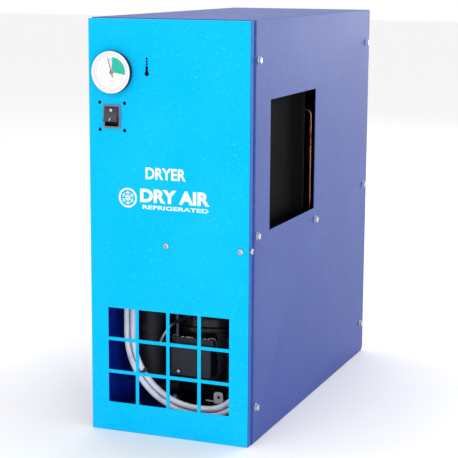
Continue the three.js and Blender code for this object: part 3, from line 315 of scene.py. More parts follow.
def pale_paper():
    """Seamless studio paper: an even pale sheet with the faintest tooth."""
    material, tree, shader, place = start("studio paper", IOR=1.4)
    tooth = noise(tree, place, 3.0, 3.0)
    connect(tree, colour_mix(tree, tooth, linear("f2f2f3"), linear("f7f7f8")), shader, "Base Color")
    connect(tree, spread(tree, tooth, 0.3, 0.7, 0.8, 0.95), shader, "Roughness")
    return material


FINISHES = {
    "front": lambda: powder_coat(
        "light blue powder coat", settings().front_colour, linear("34d6fc"), settings().grain, 0.04
    ),
    "cover": lambda: powder_coat(
        "cobalt powder coat", settings().cover_colour, linear("4c68b8"), settings().grain, 0.5
    ),
    # Painted shade: a darker blue for the front panel's side faces, which turn away from the front light.
    "edge": lambda: powder_coat(
        "light blue powder coat, folded edge", linear("0f59a8"), linear("2474c4"), settings().grain, 0.3
    ),
    # Painted light: a brighter blue for the inward faces, which stands in for light reaching the dim inside.
    "inside": lambda: powder_coat(
        "cobalt powder coat, clean inside", linear("0f38d2"), linear("2450e2"), settings().grain, 0.4
    ),
    "zinc": zinc_plate,
    "steel": lambda: turned_steel("drawn steel", "7f8388", "b4b8bc", 3.0),
    "stainless": lambda: turned_steel("stainless steel", "9a9ea2", "cfd2d4", 2.0),
    "bezel": lambda: moulded_plastic("white painted ring", "e2e0ec", "f0eef6", 0.3, 0.42, 1.4),
    # The ring's outer side: its own dark colour, deepened to navy as painted shade.
    "ring side": lambda: moulded_plastic("dark painted ring side", "14162c", "20223c", 0.35, 0.5, 1.4),
    "switch rim": lambda: moulded_plastic("satin switch rim", "66667e", "76768e", 0.32, 0.45, 0.7),
    "enamel": gloss_enamel,
    "plastic": lambda: moulded_plastic("black moulded nylon", "1a1b22", "24262e", 0.42, 0.58),
    "terminal": lambda: moulded_plastic("dark grey moulded cover", "101220", "1e2130", 0.4, 0.6, 1.8),
    "rocker": lambda: moulded_plastic("semi-gloss rocker", "23242c", "2f313a", 0.26, 0.36, 0.7),
    "knob": lambda: moulded_plastic("white moulded knob", "d8d7d0", "e6e5df", 0.4, 0.55),
    "foam": cell_foam,
    "rubber": rubber,
    "copper": drawn_copper,
    "brass": machined_brass,
    "fins": coated_fin,
    "card": lambda: print_ink("white dial card", "f6f5f2", "eeedea", 0.5),
    "green": lambda: print_ink("green dial ink", "00b79c", "2fcdb6", 0.5),
    "red ink": lambda: print_ink("red marking ink", "b82a20", "8a2018", 0.55),
    "grey ink": lambda: print_ink("grey dial ink", "8e93a6", "b6b9c6", 0.5),
    "white ink": lambda: print_ink("white screen ink", "f7fbfd", "e3f1f6", 0.45),
    "needle": lambda: moulded_plastic("grey painted needle", "7d7a88", "95929e", 0.35, 0.5),
    "lens": acrylic_lens,
    "lead": lambda: soft_sheath("light grey cable sheath", "e9edfb", "c6cce0"),
    "black wire": lambda: soft_sheath("black cable sheath", "1a1a1e", "2c2c32"),
    "grey wire": lambda: soft_sheath("grey cable sheath", "3a4049", "545c67"),
    "hose": milky_hose,
    "paper": pale_paper,
    "winding": lambda: turned_steel("steel laminations", "4d4f55", "7c8087", 1.2),
}
MADE = {}


def finish(name):
    """The material of one finish, made once."""
    if name not in MADE:
        MADE[name] = FINISHES[name]()
    return MADE[name]


# ---------------------------------------------------------------- making pieces
def settings():
    return bpy.context.scene.dryer_casing


def piece(name, data, finish_name, body="casing", stands_for=(), smooth=35):
    """Puts mesh or curve data in the scene with its finish, riding on a body of the frame."""
    made = bpy.data.objects.new(name, data)
    bpy.context.scene.collection.objects.link(made)
    data.materials.append(finish(finish_name))
    if isinstance(data, bpy.types.Mesh):
        data.shade_smooth()
        data.set_sharp_from_angle(angle=radians(smooth))
    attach(made, body)
    if stands_for:
        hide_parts(*stands_for)
    return made


def mesh_of(name, bm):
    bmesh.ops.recalc_face_normals(bm, faces=bm.faces)
    mesh = bpy.data.meshes.new(name)
    bm.to_mesh(mesh)
    bm.free()
    return mesh


def printed(name, bm, finish_name, body="casing"):
    """A flat printed shape, whose faces keep the side that they were made with."""
    mesh = bpy.data.meshes.new(name)
    bm.to_mesh(mesh)
    bm.free()
    return piece(name, mesh, finish_name, body)


def round_edges(made, width_mm, segments=2, angle=38):
    """Rounds a piece's sharp edges, as folding, stamping or moulding leaves them."""
    bevel = made.modifiers.new("rounded edges", "BEVEL")
    bevel.width = width_mm * MM
    bevel.segments = segments
    bevel.limit_method = "ANGLE"
    bevel.angle_limit = radians(angle)
    bevel.use_clamp_overlap = False
    bevel.harden_normals = True
    return made


def skin(node, finish_name, edge=0.25, segments=2, smooth=32):
    """A frame piece's own shape with its edges rounded, which stands for that node."""
    bm = bmesh.new()
    bm.from_mesh(frame["nodes"][node].data)
    bmesh.ops.remove_doubles(bm, verts=bm.verts, dist=0.004 * MM)
    bmesh.ops.dissolve_limit(bm, angle_limit=radians(0.5), verts=bm.verts, edges=bm.edges)
    made = piece(
        node + "_skin", mesh_of(node + "_skin", bm), finish_name, BODY_OF[node], [node], smooth
    )
    return round_edges(made, edge, segments) if edge else made


def repaint(made, finish_name, chosen):
    """Gives the faces that pass a test a second finish."""
    made.data.materials.append(finish(finish_name))
    for face in made.data.polygons:
        if chosen(face):
            face.material_index = len(made.data.materials) - 1


AXES = {
    "x": Matrix.Rotation(pi / 2, 3, "Y"),
    "-x": Matrix.Rotation(-pi / 2, 3, "Y"),
    "y": Matrix.Rotation(-pi / 2, 3, "X"),
    "-y": Matrix.Rotation(pi / 2, 3, "X"),
    "z": Matrix.Identity(3),
    "-z": Matrix.Rotation(pi, 3, "X"),
}


def lathe(bm, profile, axis, origin, sides=64, stretch=1.0):
    """Adds a turned body: profile is (radius, distance along the axis) in millimetres."""
    turn = AXES[axis]
    rings = []
    for radius, along in profile:
        ring = []
        for k in range(1 if radius == 0 else sides):
            angle = tau * k / sides
            spot = turn @ Vector((radius * cos(angle), radius * sin(angle) * stretch, along))
            ring.append(bm.verts.new(at(*origin) + spot * MM))
        rings.append(ring)
    for low, high in zip(rings, rings[1:]):
        join_rings(bm, low, high, sides)
    return bm


def turned(name, profile, axis, origin, sides, finish_name, stands_for=()):
    """One turned piece that rides on the casing."""
    bm = lathe(bmesh.new(), profile, axis, origin, sides)
    return piece(name, mesh_of(name, bm), finish_name, "casing", stands_for)


def join_rings(bm, low, high, sides):
    for k in range(sides):
        after = (k + 1) % sides
        corners = [low[k % len(low)], low[after % len(low)], high[after % len(high)], high[k % len(high)]]
        unique = list(dict.fromkeys(corners))
        if len(unique) > 2:
            bm.faces.new(unique)


def eased(profile, steps=6):
    """A smooth profile through the given one's points."""
    return [(max(spot.x, 0.0), spot.y) for spot in flowing_path(profile, steps)]


def box(bm, low, high):
    """Adds a block between two corners in millimetres."""
    low, high = at(*low), at(*high)
    size = high - low
    place = Matrix.Translation((low + high) / 2) @ Matrix.Diagonal((*size, 1.0))
    return bmesh.ops.create_cube(bm, size=1.0, matrix=place)["verts"]


def bent_path(points, bend, steps=8):
    """Points along straight runs with the same bend at each corner, in millimetres."""
    corners = [Vector(p) for p in points]
    path = [corners[0]]
    for before, corner, after in zip(corners, corners[1:], corners[2:]):
        entry = corner + (before - corner).normalized() * bend
        leave = corner + (after - corner).normalized() * bend
        for k in range(steps + 1):
            t = k / steps
            path.append(entry * (1 - t) ** 2 + corner * 2 * t * (1 - t) + leave * t**2)
    return path + [corners[-1]]


def flowing_path(points, steps=8):
    """Points along a smooth curve through the given ones, in millimetres."""
    spots = [Vector(p) for p in points]
    path = []
    for i in range(len(spots) - 1):
        a = spots[max(i - 1, 0)]
        b, c = spots[i], spots[i + 1]
        d = spots[min(i + 2, len(spots) - 1)]
        for k in range(steps):
            t = k / steps
            spot = b * 2 + (c - a) * t + (a * 2 - b * 5 + c * 4 - d) * t**2
            path.append((spot + (b * 3 - a - c * 3 + d) * t**3) / 2)
    return path + [spots[-1]]


def sweep(bm, path, radius, sides=12):
    """Adds a round tube along a path in millimetres, with flat ends."""
    spots = [Vector(p) for p in path]
    across = Vector((0.31, 0.52, 0.79))
    rings = []
    for i, spot in enumerate(spots):
        back = (spot - spots[i - 1]).normalized() if i else Vector()
        ahead = (spots[i + 1] - spot).normalized() if i + 1 < len(spots) else Vector()
        along = (back + ahead).normalized()
        across = (across - along * across.dot(along)).normalized()
        third = along.cross(across)
        turns = [tau * k / sides for k in range(sides)]
        rings.append(
            [bm.verts.new(at(*(spot + (across * cos(a) + third * sin(a)) * radius))) for a in turns]
        )
    for low, high in zip(rings, rings[1:]):
        join_rings(bm, low, high, sides)
    bm.faces.new(rings[0])
    bm.faces.new(rings[-1])
    return bm


def tube(name, path, radius_mm, finish_name, body="casing", stands_for=(), sides=14):
    """One round tube, wire or cable along a path in millimetres."""
    mesh = mesh_of(name, sweep(bmesh.new(), path, radius_mm, sides))
    return piece(name, mesh, finish_name, body, stands_for, 50)


def lettering(
    name, words, finish_name, left, base, width, height, y, body="casing", bold=0.0, raise_mm=0.12
):
    """Plain capitals fitted to a width and height, lying on a face that looks to the front."""
    text = bpy.data.curves.new(name, "FONT")
    text.body = words
    text.size = 1.0
    text.offset = bold
    text.resolution_u = 4
    holder = bpy.data.objects.new(name + "_outline", text)
    bpy.context.scene.collection.objects.link(holder)
    bpy.context.view_layer.update()
    mesh = bpy.data.meshes.new_from_object(holder)
    bpy.data.objects.remove(holder)
    xs = [v.co.x for v in mesh.vertices]
    ys = [v.co.y for v in mesh.vertices]
    wide, tall = max(xs) - min(xs), max(ys) - min(ys)
    for vertex in mesh.vertices:
        x = left + (vertex.co.x - min(xs)) * width / wide
        z = base + (vertex.co.y - min(ys)) * height / tall
        vertex.co = at(x, y - raise_mm, z)
    mesh.materials.clear()
    return piece(name, mesh, finish_name, body)


# ---------------------------------------------------------------- stage
# Each lamp's place and edge length in metres; the stage's settings hold its power.
LAMPS = {
    "key": ((-0.7, -2.6, 1.9), 1.2),
    "fill": ((1.35, -2.1, 0.35), 0.3),
    "rear": ((1.25, 3.0, 1.1), 1.8),
    "top": ((0.1, 0.9, 2.6), 1.8),
}
LAMP_AIM = (0.0, 0.0, 0.28)
# The camera's place in metres, its turn in degrees, and its lens and sensor in millimetres.
CAMERA = {
    "place": (0.74707, -1.95716, 0.62640),
    "turn": (79.5908, -0.34, 21.421),
    "lens": 111.99,
    "sensor": 36.0,
}


class DRYER_OT_stage(bpy.types.Operator):
    """Add the pale floor, the soft studio lights and the camera"""

    bl_idname = "dryer.stage"
    bl_label = "Stage"

    def execute(self, context):
        stage = context.scene.dryer_stage
        bm = bmesh.new()
        bmesh.ops.create_grid(bm, x_segments=8, y_segments=8, size=stage.floor_size / 2)
        floor = bpy.data.objects.new("floor", mesh_of("floor", bm))
        context.scene.collection.objects.link(floor)
        floor.data.materials.append(finish("paper"))
        self.lights(context, stage)
        self.camera(context)
        return {"FINISHED"}

    def lights(self, context, stage):
        world = bpy.data.worlds.new("studio white")
        context.scene.world = world
        world.use_nodes = True
        background = world.node_tree.nodes["Background"]
        background.inputs["Color"].default_value = (1.0, 1.0, 1.0, 1.0)
        background.inputs["Strength"].default_value = stage.surround
        aim = Vector(LAMP_AIM)
        for name, (place, size) in LAMPS.items():
            light = bpy.data.lights.new(name, "AREA")
            light.size = size
            light.energy = getattr(stage, name + "_power")
            lamp = bpy.data.objects.new(name, light)
            lamp.location = place
            lamp.rotation_euler = (aim - lamp.location).to_track_quat("-Z", "Y").to_euler()
            context.scene.collection.objects.link(lamp)

    def camera(self, context):
        camera = bpy.data.cameras.new("camera")
        camera.sensor_width = CAMERA["sensor"]
        camera.lens = CAMERA["lens"]
        holder = bpy.data.objects.new("camera", camera)
        holder.location = CAMERA["place"]
        holder.rotation_euler = Euler([radians(angle) for angle in CAMERA["turn"]])
        context.scene.collection.objects.link(holder)
        context.scene.camera = holder
        context.scene.view_settings.view_transform = "Standard"


# ---------------------------------------------------------------- mains lead
LEAD_DROP = [
    (205, 60, 224.5),
    (205, 60, 205),
    (205.5, 59.5, 188),
    (207, 58.5, 172),
]
LEAD_TAIL = [
    (210, 60, 74),
    (207, 67, 54),
    (203.5, 76, 36),
    (201, 87, 24),
    (200, 98, 19),
    (200, 107.5, 18.5),
]
COIL = {"left": 43.0, "right": 214.0, "bottom": 29.5, "top": 240.0, "y": 41.0}
COIL_RADII = {"bottom_left": 100.0, "bottom_right": 60.0, "top_right": 60.0, "top_left": 80.0}
# Where the three strands lie in the bundle: outward from its centre line, and to the rear.
STRANDS = [(0.0, 4.3), (-4.8, -4.3), (4.8, -4.3)]


def coil_outline(spacing=6.0):
    """The coil's centre line as (x, z, outward x, outward z), clockwise from the right side."""
    left, right, bottom, top = COIL["left"], COIL["right"], COIL["bottom"], COIL["top"]
    r = COIL_RADII
    arcs = [
        (right - r["bottom_right"], bottom + r["bottom_right"], r["bottom_right"], 0.0),
        (left + r["bottom_left"], bottom + r["bottom_left"], r["bottom_left"], -90.0),
        (left + r["top_left"], top - r["top_left"], r["top_left"], -180.0),
        (right - r["top_right"], top - r["top_right"], r["top_right"], -270.0),
    ]
    spots = []
    for x, z, radius, first in arcs:
        steps = ceil(radius * pi / 2 / spacing)
        for k in range(steps + 1):
            angle = radians(first - 90.0 * k / steps)
            spots.append((x + radius * cos(angle), z + radius * sin(angle), cos(angle), sin(angle)))
    return spots


def smooth_step(t):
    t = min(max(t, 0.0), 1.0)
    return t * t * (3 - 2 * t)


def coil_path():
    """The lead's turns: each lies in its own place in the bundle and moves over at the top."""
    outline = coil_outline()
    count = len(outline)
    path = []
    for turn, (out_now, rear_now) in enumerate(STRANDS):
        out_next, rear_next = STRANDS[turn + 1] if turn + 1 < len(STRANDS) else STRANDS[turn]
        for k, (x, z, out_x, out_z) in enumerate(outline):
            step = smooth_step((k / count - 0.62) / 0.36)
            out = out_now + (out_next - out_now) * step
            rear = rear_now + (rear_next - rear_now) * step
            path.append(Vector((x + out * out_x, COIL["y"] + rear, z + out * out_z)))
    return path


class DRYER_OT_mains_lead(bpy.types.Operator):
    """Add the stored mains lead with its grip, ties and plug"""

    bl_idname = "dryer.mains_lead"
    bl_label = "Mains lead"

    def execute(self, context):
        lead = context.scene.dryer_lead
        radius = lead.diameter / MM / 2
        grip = self.grip()
        plug = self.plug(radius)
        ties = [self.tie(radius, index) for index in (0, 1)]
        entry = [(209, 57.5, 160), (212, 53.5, 144), (213.8, 48, 126)]
        leave = [
            (218.5, 37.5, 168), (220.5, 39.5, 150), (222.4, 45.5, 130), (219.3, 52.5, 111), (213, 56.5, 92)
        ]
        route = flowing_path([*LEAD_DROP, *entry], 5)[:-1] + coil_path()[:-1]
        route += flowing_path([*leave, *LEAD_TAIL], 5)
        nodes = ["cord_drop", "cord_coil", "cord_tail"]
        cable = tube("mains_lead", route, radius, "lead", "casing", nodes, 16)
        return {"FINISHED"}

    def grip(self):
        """A ribbed rubber sleeve that tapers down the lead below the shelf."""
        low, high = corners_mm("cord_grip")
        x, y = (low.x + high.x) / 2, (low.y + high.y) / 2
        top, bottom = high.z, low.z
        profile = [(4.35, top), (11.0, top), (11.0, top - 3.2), (10.4, top - 4.0), (8.6, top - 4.2)]
        z, ribs = top - 6.0, 7
        for k in range(ribs):
            outer = 8.4 - 2.6 * k / ribs
            profile += [(outer, z), (outer, z - 2.0), (outer - 1.3, z - 2.2), (outer - 1.3, z - 3.4)]
            z -= 3.5
        profile += [(5.6, bottom + 0.6), (5.2, bottom), (4.35, bottom), (4.35, top)]
        return turned("lead_grip", profile, "z", (x, y, 0), 32, "rubber", ["cord_grip"])

    def plug(self, radius):
        """A straight round two-pin plug with finger ribs, lying on the tray."""
        low, high = corners_mm("mains_plug")
        x, z = (low.x + high.x) / 2, (low.z + high.z) / 2
        outer = (high.z - low.z) / 2
        profile = [(0, 0.0), (radius + 1.2, 0.0), (radius + 1.8, 1.0)]
        for k in range(4):
            y = 2.0 + 3.0 * k
            profile += [(radius + 2 + 0.5 * k, y), (radius + 2 + 0.5 * k, y + 1.6)]
            profile += [(radius + 1.2 + 0.5 * k, y + 1.9), (radius + 1.2 + 0.5 * k, y + 2.8)]
        profile += [(9.5, 15.0), (13.0, 17.5), (outer - 1.2, 23.0), (outer - 0.2, 28.0), (outer - 0.2, 48.0)]
        profile += [(outer - 1.4, 51.4), (outer - 2.2, 52.0), (0, 52.0)]
        bm = lathe(bmesh.new(), profile, "y", (x, low.y, z), 48)
        for k in range(18):
            angle = tau * k / 18
            place = (x + (outer - 0.8) * cos(angle), low.y, z + (outer - 0.8) * sin(angle))
            lathe(bm, [(0, 30.0), (0.8, 30.6), (0.8, 46.0), (0, 46.6)], "y", place, 6)
        for side in (-1, 1):
            place = (x + side * 9.5, low.y, z)
            lathe(bm, [(2.4, 51.0), (2.4, 69.0), (1.9, 70.6), (0, 71.0)], "y", place, 20)
        return piece("plug", mesh_of("plug", bm), "rubber", "casing", ["mains_plug"])

    def tie(self, radius, index):
        """A black cable tie pulled round the strands, with its square head."""
        outline = coil_outline()
        spot = outline[ceil(len(outline) * (0.395, 0.93)[index])]
        x, z, out_x, out_z = spot
        rim = []
        for out, rear in STRANDS:
            for k in range(20):
                angle = tau * k / 20
                rim.append((out + (radius + 0.2) * cos(angle), rear + (radius + 0.2) * sin(angle)))
        hull = [rim[i] for i in convex_hull_2d(rim)]
        along = Vector((-out_z, 0, out_x))
        middle = Vector((x, COIL["y"], z))
        bm = bmesh.new()
        rings = []
        for grow, side in ((0.0, -2.3), (1.1, -2.3), (1.1, 2.3), (0.0, 2.3)):
            ring = []
            for out, rear in hull:
                scale = 1 + grow / max(sqrt(out * out + rear * rear), 0.1)
                spot = middle + Vector((out_x, 0, out_z)) * out * scale + Vector((0, rear * scale, 0))
                ring.append(bm.verts.new(at(*(spot + along * side))))
            rings.append(ring)
        for low, high in zip(rings, rings[1:] + rings[:1]):
            join_rings(bm, low, high, len(hull))
        head = middle + Vector((out_x, 0, out_z)) * -9.6 + Vector((0, -5.5, 0))
        box(bm, head - Vector((2.6, 2.2, 2.6)), head + Vector((2.6, 2.2, 2.6)))
        made = piece(f"cable_tie_{index + 1}", mesh_of("cable_tie", bm), "plastic", smooth=50)
        return round_edges(made, 0.3)


# ---------------------------------------------------------------- casing
class DRYER_OT_front_panel(bpy.types.Operator):
    """Add the front panel's sheet and its printed lettering"""

    bl_idname = "dryer.front_panel"
    bl_label = "Front panel"

    def execute(self, context):
        sheet = skin("front_panel", "front", 0.3)
        # The side faces get the darker blue of painted shade.
        repaint(sheet, "edge", lambda face: abs(face.normal.x) > 0.7)
        lettering("letters_upper", "DRYER", "white ink", 84.5, 351.5, 57.5, 15.5, 0.0, bold=0.025)
        lettering("letters_middle", "DRY AIR", "white ink", 76.5, 320.5, 99.0, 18.0, 0.0, bold=0.04)
        lettering("letters_lower", "REFRIGERATED", "white ink", 80.0, 311.5, 94.0, 5.2, 0.0, bold=0.02)
        self.mark()
        return {"FINISHED"}

    def mark(self):
        """A plain six-armed frost star in a ring, printed beside the words."""
        x, z, y = 58.5, 325.0, -0.12
        bm = bmesh.new()
        sides = 48
        rings = []
        turns = [tau * k / sides for k in range(sides)]
        for radius in (13.2, 10.8):
            ring = [(x + radius * cos(turn), y, z + radius * sin(turn)) for turn in turns]
            rings.append([bm.verts.new(at(*spot)) for spot in ring])
        join_rings(bm, rings[0], rings[1], sides)
        for k in range(6):
            angle = tau * k / 6 + pi / 6
            along = Vector((cos(angle), 0, sin(angle)))
            across = Vector((-sin(angle), 0, cos(angle)))
            middle = Vector((x, y, z))
            for near, far, half, lean in ((0.6, 8.6, 0.9, 0.0), (4.6, 7.4, 0.7, 2.6), (4.6, 7.4, 0.7, -2.6)):
                spots = [
                    middle + along * near - across * half,
                    middle + along * near + across * half,
                    middle + along * far + across * (half + lean),
                    middle + along * far + across * (lean - half),
                ]
                bm.faces.new([bm.verts.new(at(*spot)) for spot in spots])
        printed("frost_mark", bm, "white ink")


def paint_inside(made, inward_mm):
    """Paints the inward faces of the side walls, down to inward_mm inside the cover's outside, in a brighter
    blue that is painted light for the dim inside.
    """
    reach = (WIDTH / 2 - inward_mm) * MM
    repaint(made, "inside", lambda face: face.center.x * face.normal.x < 0 and abs(face.center.x) > reach)


class DRYER_OT_cover(bpy.types.Operator):
    """Add the wrap-round cover, the rear panel and the tray"""

    bl_idname = "dryer.cover"
    bl_label = "Cover and rear panel"

    def execute(self, context):
        sheet = skin("wrap_cover", "cover", 0.3)
        # The cover's and the tray's inward faces get the brighter blue of painted light.
        paint_inside(sheet, 3.0)
        skin("rear_panel", "cover", 0.3)
        paint_inside(skin("base_tray", "cover", 0.25), 9.0)
        return {"FINISHED"}


class DRYER_OT_frame(bpy.types.Operator):
    """Add the painted front frame and the shelf between the compartments"""

    bl_idname = "dryer.frame"
    bl_label = "Frame and shelf"

    def execute(self, context):
        skin("front_frame", "cover", 0.25)
        skin("mid_shelf", "cover", 0.25)
        return {"FINISHED"}


def flange_head(bm, axis, spot):
    """A hexagon head with a dished top on a round flange, seen from outside."""
    lathe(bm, [(0, 0.0), (5.25, 0.0), (5.25, 0.7), (4.9, 1.1), (4.1, 1.3)], axis, spot, 40)
    lathe(bm, [(4.62, 0.6), (4.62, 3.6), (4.1, 4.2), (3.1, 4.2), (2.8, 3.7), (0, 3.7)], axis, spot, 6)


def button_head(bm, axis, spot, rise=2.4):
    """A domed head with a hexagonal socket."""
    r = 4.15
    dome = [
        (r, 0.0), (r, rise * 0.22), (r * 0.96, rise * 0.45), (r * 0.82, rise * 0.75), (r * 0.62, rise * 0.95)
    ]
    lathe(bm, [(0, 0.0), *dome, (1.75, rise)], axis, spot, 40)
    lathe(bm, [(1.75, rise), (1.5, rise), (1.5, rise * 0.35), (0, rise * 0.35)], axis, spot, 6)


SCREW_ROWS = [
    (22.5, 510.0), (22.5, 282.0), (22.5, 50.0), (516.5, 510.0), (516.5, 282.0), (516.5, 50.0), (267.5, 264.6)
]


class DRYER_OT_screws(bpy.types.Operator):
    """Add every outside screw"""

    bl_idname = "dryer.screws"
    bl_label = "Screws"

    def execute(self, context):
        for node in frame["nodes"]:
            if node.startswith("cover_screw_"):
                spot = middle_mm(node)
                self.screw(node + "_head", flange_head, "x", (WIDTH + 0.3, spot.y, spot.z), [node])
        for node in ("front_screw_centre", "front_screw_right"):
            spot = middle_mm(node)
            self.screw(node + "_head", button_head, "-y", (spot.x, -0.3, spot.z), [node])
        spot = middle_mm("flange_screw")
        self.screw("flange_screw_head", button_head, "x", (WIDTH - 1.7, spot.y, spot.z), ["flange_screw"])
        for k, (y, z) in enumerate(SCREW_ROWS):
            self.screw(f"left_screw_{k + 1}", flange_head, "-x", (-0.1, y, z), ())
        return {"FINISHED"}

    def screw(self, name, shape, axis, spot, stands_for):
        bm = bmesh.new()
        shape(bm, axis, spot)
        mesh = mesh_of(name, bm)
        return piece(name, mesh, "zinc", "casing", stands_for, 30)


# ---------------------------------------------------------------- thermometer and switch
class DRYER_OT_thermometer(bpy.types.Operator):
    """Add the dial thermometer: case, ring, printed dial, needle and window"""

    bl_idname = "dryer.thermometer"
    bl_label = "Dial thermometer"

    def execute(self, context):
        self.x, _, self.z = middle_mm("gauge_bezel")
        front = corners_mm("gauge_bezel")[0].y
        skin("gauge_case", "plastic", 0.3)
        ring = [
            (28.0, front + 7.6), (28.0, front + 2.2), (27.7, front + 1.0), (27.0, front + 0.25),
            (26.2, front),
        ]
        ring += [
            (25.2, front + 0.3), (24.5, front + 1.2), (24.4, front + 1.4), (24.4, front + 7.6),
            (28.0, front + 7.6),
        ]
        centre = (self.x, 0, self.z)
        made = turned("gauge_ring", ring, "y", centre, 96, "bezel", ["gauge_bezel"])
        middle = Vector(at(self.x, 0, self.z))
        outer = 27.6 * MM
        # The ring's outer side gets the dark finish: its own dark colour plus painted shade.
        repaint(
            made, "ring side", lambda face: hypot(face.center.x - middle.x, face.center.z - middle.z) > outer
        )
        self.dial()
        self.liner()
        self.window()
        self.needle()
        return {"FINISHED"}

    def dial(self):
        y = corners_mm("gauge_dial")[0].y
        card = [(0, y + 0.8), (24.1, y + 0.8), (24.1, y + 0.1), (24.0, y), (1.3, y), (1.3, y + 0.8)]
        turned("dial_card", card, "y", (self.x, 0, self.z), 96, "card", ["gauge_dial"])
        self.y = y - 0.06
        self.sector("green_zone", "green", 3.2, 19.6, 2.0, 99.0)
        for name, inner, outer, first, last in (
            ("scale_arc_outer", 16.6, 16.9, -122.0, 0.0),
            ("scale_arc_inner", 13.2, 13.45, -122.0, 0.0),
            ("scale_arc_right", 16.6, 16.9, 99.0, 122.0),
            ("dial_edge_line", 21.6, 21.85, -180.0, 180.0),
        ):
            self.sector(name, "grey ink", inner, outer, first, last)
        self.ticks()
        for name, words, angle in (("dial_sign_low", "-", -132.0), ("dial_sign_high", "+", 132.0)):
            x = self.x + 18.0 * sin(radians(angle))
            z = self.z + 18.0 * cos(radians(angle))
            tall = 0.45 if words == "-" else 2.0
            lettering(name, words, "grey ink", x - 1.0, z - tall / 2, 2.0, tall, self.y, raise_mm=0.0)
        lettering("dial_unit", "°C", "grey ink", self.x - 2.4, self.z - 13.5, 4.8, 3.2, self.y, raise_mm=0.0)

    def sector(self, name, finish_name, inner, outer, first, last):
        """A flat ring sector on the dial, its angles clockwise from twelve o'clock."""
        steps = max(2, ceil((last - first) / 3))
        bm = bmesh.new()
        before = None
        for k in range(steps + 1):
            angle = radians(first + (last - first) * k / steps)
            pair = [
                bm.verts.new(at(self.x + r * sin(angle), self.y, self.z + r * cos(angle)))
                for r in (inner, outer)
            ]
            if before:
                bm.faces.new([before[0], before[1], pair[1], pair[0]])
            before = pair
        printed(name, bm, finish_name)

    def ticks(self):
        bm = bmesh.new()
        for k in range(25):
            angle = radians(-120 + 10 * k)
            inner = 16.9 if k % 3 else 14.6
            along = Vector((sin(angle), 0, cos(angle)))
            across = Vector((cos(angle), 0, -sin(angle))) * (0.1 if k % 3 else 0.16)
            middle = Vector((self.x, self.y - 0.02, self.z))
            near, far = middle + along * inner, middle + along * 18.6
            spots = [near - across, near + across, far + across, far - across]
            bm.faces.new([bm.verts.new(at(*spot)) for spot in spots])
        printed("dial_ticks", bm, "grey ink")

    def liner(self):
        """The white ring that keeps the dial at its distance behind the window."""
        front = corners_mm("gauge_lens")[1].y + 0.1
        rear = corners_mm("gauge_dial")[0].y
        profile = [(24.0, front), (24.35, front), (24.35, rear), (24.0, rear), (24.0, front)]
        turned("dial_liner", profile, "y", (self.x, 0, self.z), 96, "bezel")

    def window(self):
        low, high = corners_mm("gauge_lens")
        crown = [
            (0, low.y), (12.0, low.y + 0.02), (22.0, low.y + 0.1), (25.7, low.y + 0.25), (25.7, high.y),
            (0, high.y),
        ]
        turned("gauge_window", crown, "y", (self.x, 0, self.z), 96, "lens", ["gauge_lens"])

    def needle(self):
        """A tapered pointer with a short tail, on a turned hub."""
        low, _ = corners_mm("gauge_needle")
        y = low.y + 0.2
        turn = Matrix.Rotation(radians(-15), 3, "Y")
        bm = bmesh.new()
        outline = [(0.35, 20.2), (0.7, 0.0), (0.8, -7.2), (-0.8, -7.2), (-0.7, 0.0), (-0.35, 20.2)]
        middle = Vector((self.x, 0, self.z))
        rings = []
        for along in (y, y + 0.5):
            spots = [middle + turn @ Vector((a, 0, b)) + Vector((0, along, 0)) for a, b in outline]
            rings.append([bm.verts.new(at(*spot)) for spot in spots])
        join_rings(bm, rings[0], rings[1], len(outline))
        bm.faces.new(rings[0])
        bm.faces.new(rings[1])
        hub = [(0, low.y), (1.6, low.y + 0.02), (2.6, low.y + 0.15), (2.9, low.y + 0.4), (2.9, low.y + 1.0)]
        lathe(
            bm, [*hub, (1.2, low.y + 1.0), (1.2, low.y + 14.0), (0, low.y + 14.0)], "y", (self.x, 0, self.z),
            40,
        )
        mesh = mesh_of("needle", bm)
        made = piece("needle", mesh, "needle", "needle", ["gauge_needle"])
        round_edges(made, 0.08)


class DRYER_OT_switch(bpy.types.Operator):
    """Add the rocker switch with its on and off marks"""

    bl_idname = "dryer.switch"
    bl_label = "Rocker switch"

    def execute(self, context):
        rim = skin("switch_frame", "switch rim", 0.45, 3)
        # Painted shade: the rim's inner well faces are given black, where shade falls in the recess.
        inside = corners_mm("switch_frame")[0].y + 1.0
        repaint(rim, "plastic", lambda face: face.center.y > at(0, inside, 0)[1])
        skin("switch_rocker", "rocker", 0.35, 3)
        skin("wiring_box", "plastic", 0.6)
        self.marks()
        return {"FINISHED"}

    def marks(self):
        """A ring at the upper end and a bar at the lower end, printed on the dished face."""
        spot = middle_mm("switch_frame")
        self.x, self.z = spot.x, spot.z
        bm = bmesh.new()
        for k in range(24):
            ring = []
            for r, step in ((1.0, k), (1.75, k), (1.75, k + 1), (1.0, k + 1)):
                angle = tau * step / 24
                ring.append(bm.verts.new(self.on_face(r * cos(angle), 5.8 + r * sin(angle))))
            bm.faces.new(ring)
        bar = [(-1.3, -8.0), (-0.5, -8.0), (0.1, -6.0), (0.6, -4.4), (-0.2, -4.4), (-0.7, -6.0)]
        bm.faces.new([bm.verts.new(self.on_face(across, up)) for across, up in bar])
        printed("rocker_marks", bm, "white ink", BODY_OF["switch_rocker"])

    def on_face(self, across, up):
        """A place on the rocker's dished face, given before the rocker is tilted on its pivot."""
        tilt, pivot = radians(-15), 5.0
        t = (up + 9.5) / 19
        deep = -11.5 * (1 - t) ** 2 - 18.2 * t * (1 - t) - 11.5 * t**2 - 0.22
        y = pivot + deep * cos(tilt) - up * sin(tilt)
        return at(self.x + across, y, self.z + deep * sin(tilt) + up * cos(tilt))


